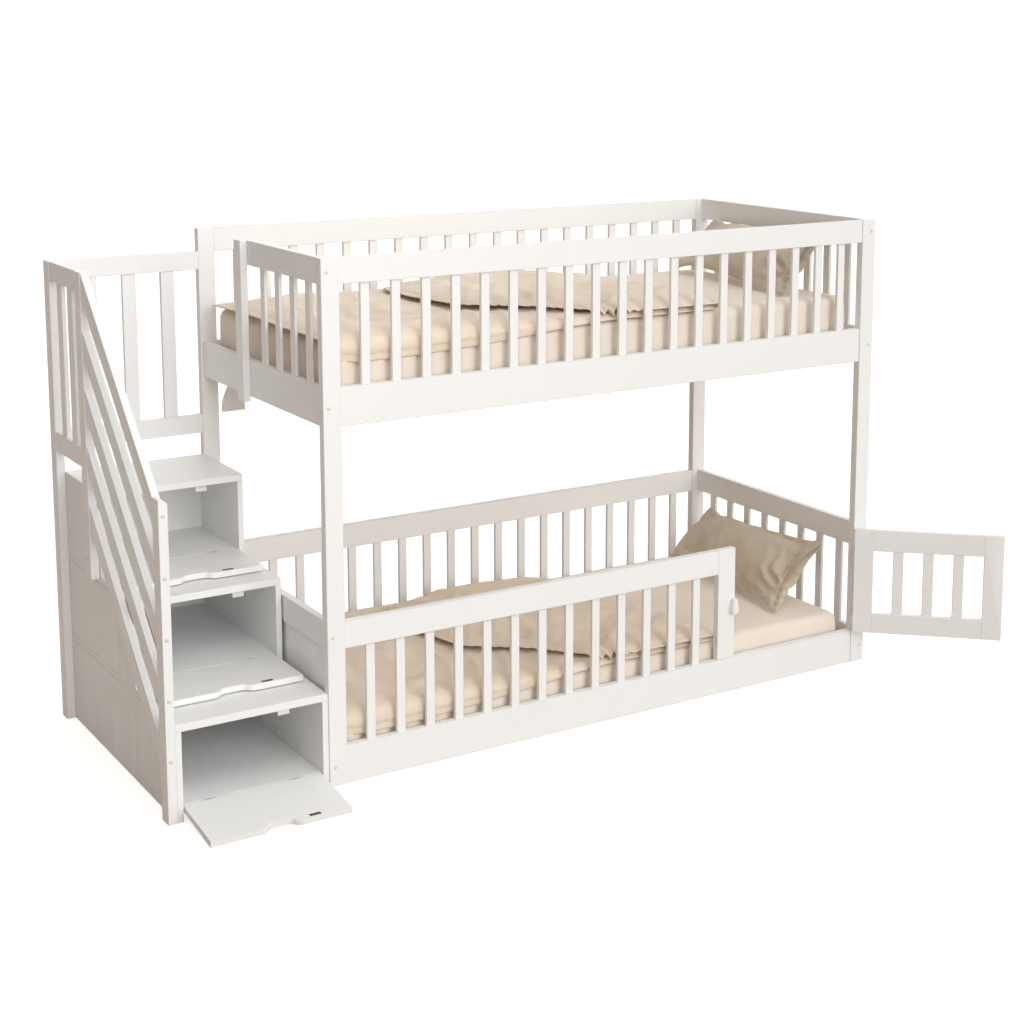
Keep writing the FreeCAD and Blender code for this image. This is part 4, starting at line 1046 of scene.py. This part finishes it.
# %% Give the duvet its thickness and set both in place
PLUMP = 0.0125
PLUMP_OVER = 0.050  # it swells to this plumpness over this much inside the border
BORDER = 0.0032
BORDER_WIDE = 0.020
SEAM_THIN, SEAM_WIDE = 0.0012, 0.004


def make_duvet(level, grid):
    away = border_distance(grid)
    swell = np.clip((away - BORDER_WIDE) / PLUMP_OVER, 0, 1) ** 0.5
    seam = np.exp(-((away - BORDER_WIDE) / SEAM_WIDE) ** 2)
    thick = (BORDER + (PLUMP - BORDER) * swell) * (1 - seam) + SEAM_THIN * seam
    points, faces = both_sides(grid, thick[:, :, None])
    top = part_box(level + "_mattress")[1][2]
    piece = link_mesh(level + "_duvet_quilt", points + np.array((0, 0, top)), faces, duvet_linen)
    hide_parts(level + "_duvet")
    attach(piece, "bed")
    return piece


quilt_shape = settled_duvet()
duvets = {level: make_duvet(level, quilt_shape) for level in LEVELS}
print("duvet points:", len(duvets["lower"].data.vertices))

# %% [markdown]
# ## Pillows
# A pillow leans on the guard at the right end. Its four corners don't lie in one plane: the front
# end stands steeper than the back. Two grids over a surface stretched between the corners make its
# faces, and a pressure blows them up until the case puckers along its seams.

# %% The surface and its folds
PILLOW_CORNERS = np.array((  # front low, front high, back high, back low, over the mattress
    (1.738, 0.140, 0.012), (1.962, 0.164, 0.220), (1.984, 0.806, 0.198), (1.806, 0.832, 0.016),
))
SIDES_IN = (0.012, 0.010)  # how far the long sides and the front end pull in at their middles
CASE_LONG, CASE_HIGH = 0.68, 0.33
GATHER_AT = 0.22  # height of the gathers at the front end, as a share of the case's
FAN_FOLD, FAN_COUNT = 0.009, 9  # height of the folds that fan out, and how many to a radian
FAN_AT, FAN_HALF = 0.07, 0.10  # their highest distance from the gathers, and the spread
SIDE_FOLD, SIDE_WAVES = 0.0055, 58
PILLOW_CREASE = 0.006


def pillow_surface(a, b):
    """A point between the corners: a runs from the front end to the back, b from low to high."""
    front_low, front_high, back_high, back_low = PILLOW_CORNERS
    a, b = a[..., None], b[..., None]
    place = (1 - a) * ((1 - b) * front_low + b * front_high)
    place = place + a * ((1 - b) * back_low + b * back_high)
    long_way = (back_low + back_high - front_low - front_high) / 2
    high_way = (front_high + back_high - front_low - back_low) / 2
    long_way, high_way = (way / np.linalg.norm(way) for way in (long_way, high_way))
    place = place - high_way * SIDES_IN[0] * (2 * b - 1) ** 3 * 4 * a * (1 - a)
    place = place + long_way * SIDES_IN[1] * np.abs(2 * a - 1) ** 3 * 4 * b * (1 - b)
    return place, np.cross(high_way, long_way)


def noise_grid(a, b, scale, seed):
    flat = np.stack([a.ravel() * 2, b.ravel(), np.full(a.size, seed)], axis=1)
    return noise_field(flat, scale, seed).reshape(a.shape)


def pillow_folds(a, b):
    """Folds that fan out from the gathers at the front end, and folds along the sides."""
    across, up = a * CASE_LONG, (b - GATHER_AT) * CASE_HIGH
    far = np.hypot(across, up)
    fan = np.sin(np.arctan2(up, across + 0.02) * FAN_COUNT + 6 * noise_grid(a, b, 3.0, 4.0))
    folds = fan * np.exp(-((far - FAN_AT) / FAN_HALF) ** 2) * np.clip(far / 0.05, 0, 1)
    beside = np.sin(a * SIDE_WAVES + 7 * noise_grid(a, b, 2.0, 1.0))
    beside = beside * np.exp(-np.minimum(b, 1 - b) / 0.14)
    beside = SIDE_FOLD * beside * (0.5 + noise_grid(a, b, 5.0, 9.0))
    flat = np.stack([across.ravel(), b.ravel() * 0.36, np.zeros(a.size)], axis=1)
    return FAN_FOLD * folds + beside + PILLOW_CREASE * creases(flat, 7.0).reshape(a.shape)


# %% Shape the case before it is filled
PILLOW_CELLS = (64, 32)
PILLOW_FULL = 0.066  # half the thickness at the middle before it is filled
BACK_SHARE = 0.8  # the side that leans on the guard is this much as full


def pillow_start():
    """Both faces of the case as one closed skin that shares its rim."""
    rows, columns = PILLOW_CELLS[0] + 1, PILLOW_CELLS[1] + 1
    a, b = np.meshgrid(np.linspace(0, 1, rows), np.linspace(0, 1, columns), indexing="ij")
    place, outward = pillow_surface(a, b)
    crown = ((4 * a * (1 - a)) ** 0.55 * (4 * b * (1 - b)) ** 0.55)[..., None]
    folds = pillow_folds(a, b)[..., None] * np.minimum(1, 2 * crown)
    front = place + outward * (PILLOW_FULL * crown + folds)
    back = (place - outward * PILLOW_FULL * BACK_SHARE * crown)[1:-1, 1:-1]
    points = np.concatenate([front.reshape(-1, 3), back.reshape(-1, 3)])
    index = np.arange(rows * columns).reshape(rows, columns)
    under = index.copy()
    under[1:-1, 1:-1] = np.arange(rows * columns, len(points)).reshape(back.shape[:2])
    faces = []
    for i in range(rows - 1):
        for j in range(columns - 1):
            faces.append((index[i, j], index[i + 1, j], index[i + 1, j + 1], index[i, j + 1]))
            faces.append((under[i, j], under[i, j + 1], under[i + 1, j + 1], under[i + 1, j]))
    return points, [tuple(int(v) for v in face) for face in faces], index


print("pillow grid:", PILLOW_CELLS)

# %% [markdown]
# The case is open at its front end. Past the filling its two edges are loose: they part a little at
# the middle and are gathered in tight folds near the lower corner.

# %% The open end of the case
LIP_LONG = 0.036
LIP_IN = 0.22  # the share of that length that starts inside the pillow
LIP_THICK = 0.0016
LIP_ROWS = 7
LIP_APART = 0.017
LIP_GAP = 0.0014
LIP_SHORTER = 0.35  # how much shorter the edges are at the gathers
GATHER = 0.0105
GATHERS = 11
GATHERED, GATHERED_HALF = 0.20, 0.16  # where along the end, and how far to each side


def lip(edge, outward, way, side):
    """One loose edge: a thin closed strip from inside the pillow's front end to past it."""
    s = np.linspace(0, 1, len(edge))
    low_end = np.exp(-((s - GATHERED) / GATHERED_HALF) ** 2)
    grid = []
    for r in np.arange(LIP_ROWS) / (LIP_ROWS - 1):
        reach = (r * (1.0 - LIP_SHORTER * low_end) - LIP_IN) * LIP_LONG
        part = side * (LIP_APART * np.sin(math.pi * s) ** 0.8 * r ** 1.4 + LIP_GAP)
        wave = GATHER * r * (0.12 + low_end) * np.sin(s * 2 * math.pi * GATHERS + side)
        grid.append(edge + way * reach[:, None] + outward * (part + wave)[:, None])
    return both_sides(np.array(grid), LIP_THICK)


# %% Fill the pillow
PILLOW_FRAMES = 20
PILLOW_CLOTH = dict(
    use_pressure=True, uniform_pressure_force=3.0, shrink_min=-0.04, bending_stiffness=0.3,
    tension_stiffness=12, compression_stiffness=12, mass=0.25,
)
PILLOW_CAP = 0.022
EAR = 0.055  # the corners keep their points within this distance
GUARD_FACE = 2.0008
SEAT = 0.0006
LIP_FROM = 6  # the edges leave the case along the line from this row to its end


def filled_pillow():
    """The pillow over a mattress whose top is at zero, with its open end."""
    start, faces, index = pillow_start()
    points = start
    points = capped(start, settle(start, faces, PILLOW_FRAMES, **PILLOW_CLOTH), PILLOW_CAP)
    for corner in index[::index.shape[0] - 1, ::index.shape[1] - 1].ravel():
        away = np.linalg.norm(start - start[corner], axis=1, keepdims=True)
        ear = np.exp(-(away / EAR) ** 2)
        points = points * (1 - ear) + start * ear
    points[:, 2] = np.maximum(points[:, 2], SEAT)
    points[:, 0] = np.minimum(points[:, 0], GUARD_FACE)
    edge = points[index[0]]
    _, outward = pillow_surface(np.array(0.0), np.array(0.5))
    way = edge.mean(axis=0) - points[index[LIP_FROM]].mean(axis=0)
    for side in (1, -1):
        more, more_faces = lip(edge, outward, way / np.linalg.norm(way), side)
        more[:, 2] = np.maximum(more[:, 2], SEAT)
        faces = faces + [tuple(len(points) + v for v in face) for face in more_faces]
        points = np.concatenate([points, more])
    return points, faces


# %% Set both pillows in place
def make_pillow(level, points, faces):
    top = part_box(level + "_mattress")[1][2]
    piece = link_mesh(level + "_pillow_case", points + np.array((0, 0, top)), faces, pillow_linen)
    finer = piece.modifiers.new("finer", "SUBSURF")
    finer.levels = finer.render_levels = 1
    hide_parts(level + "_pillow")
    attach(piece, "bed")


pillow_points, pillow_faces = filled_pillow()
for level in LEVELS:
    make_pillow(level, pillow_points, pillow_faces)
print("pillow points:", len(pillow_points))
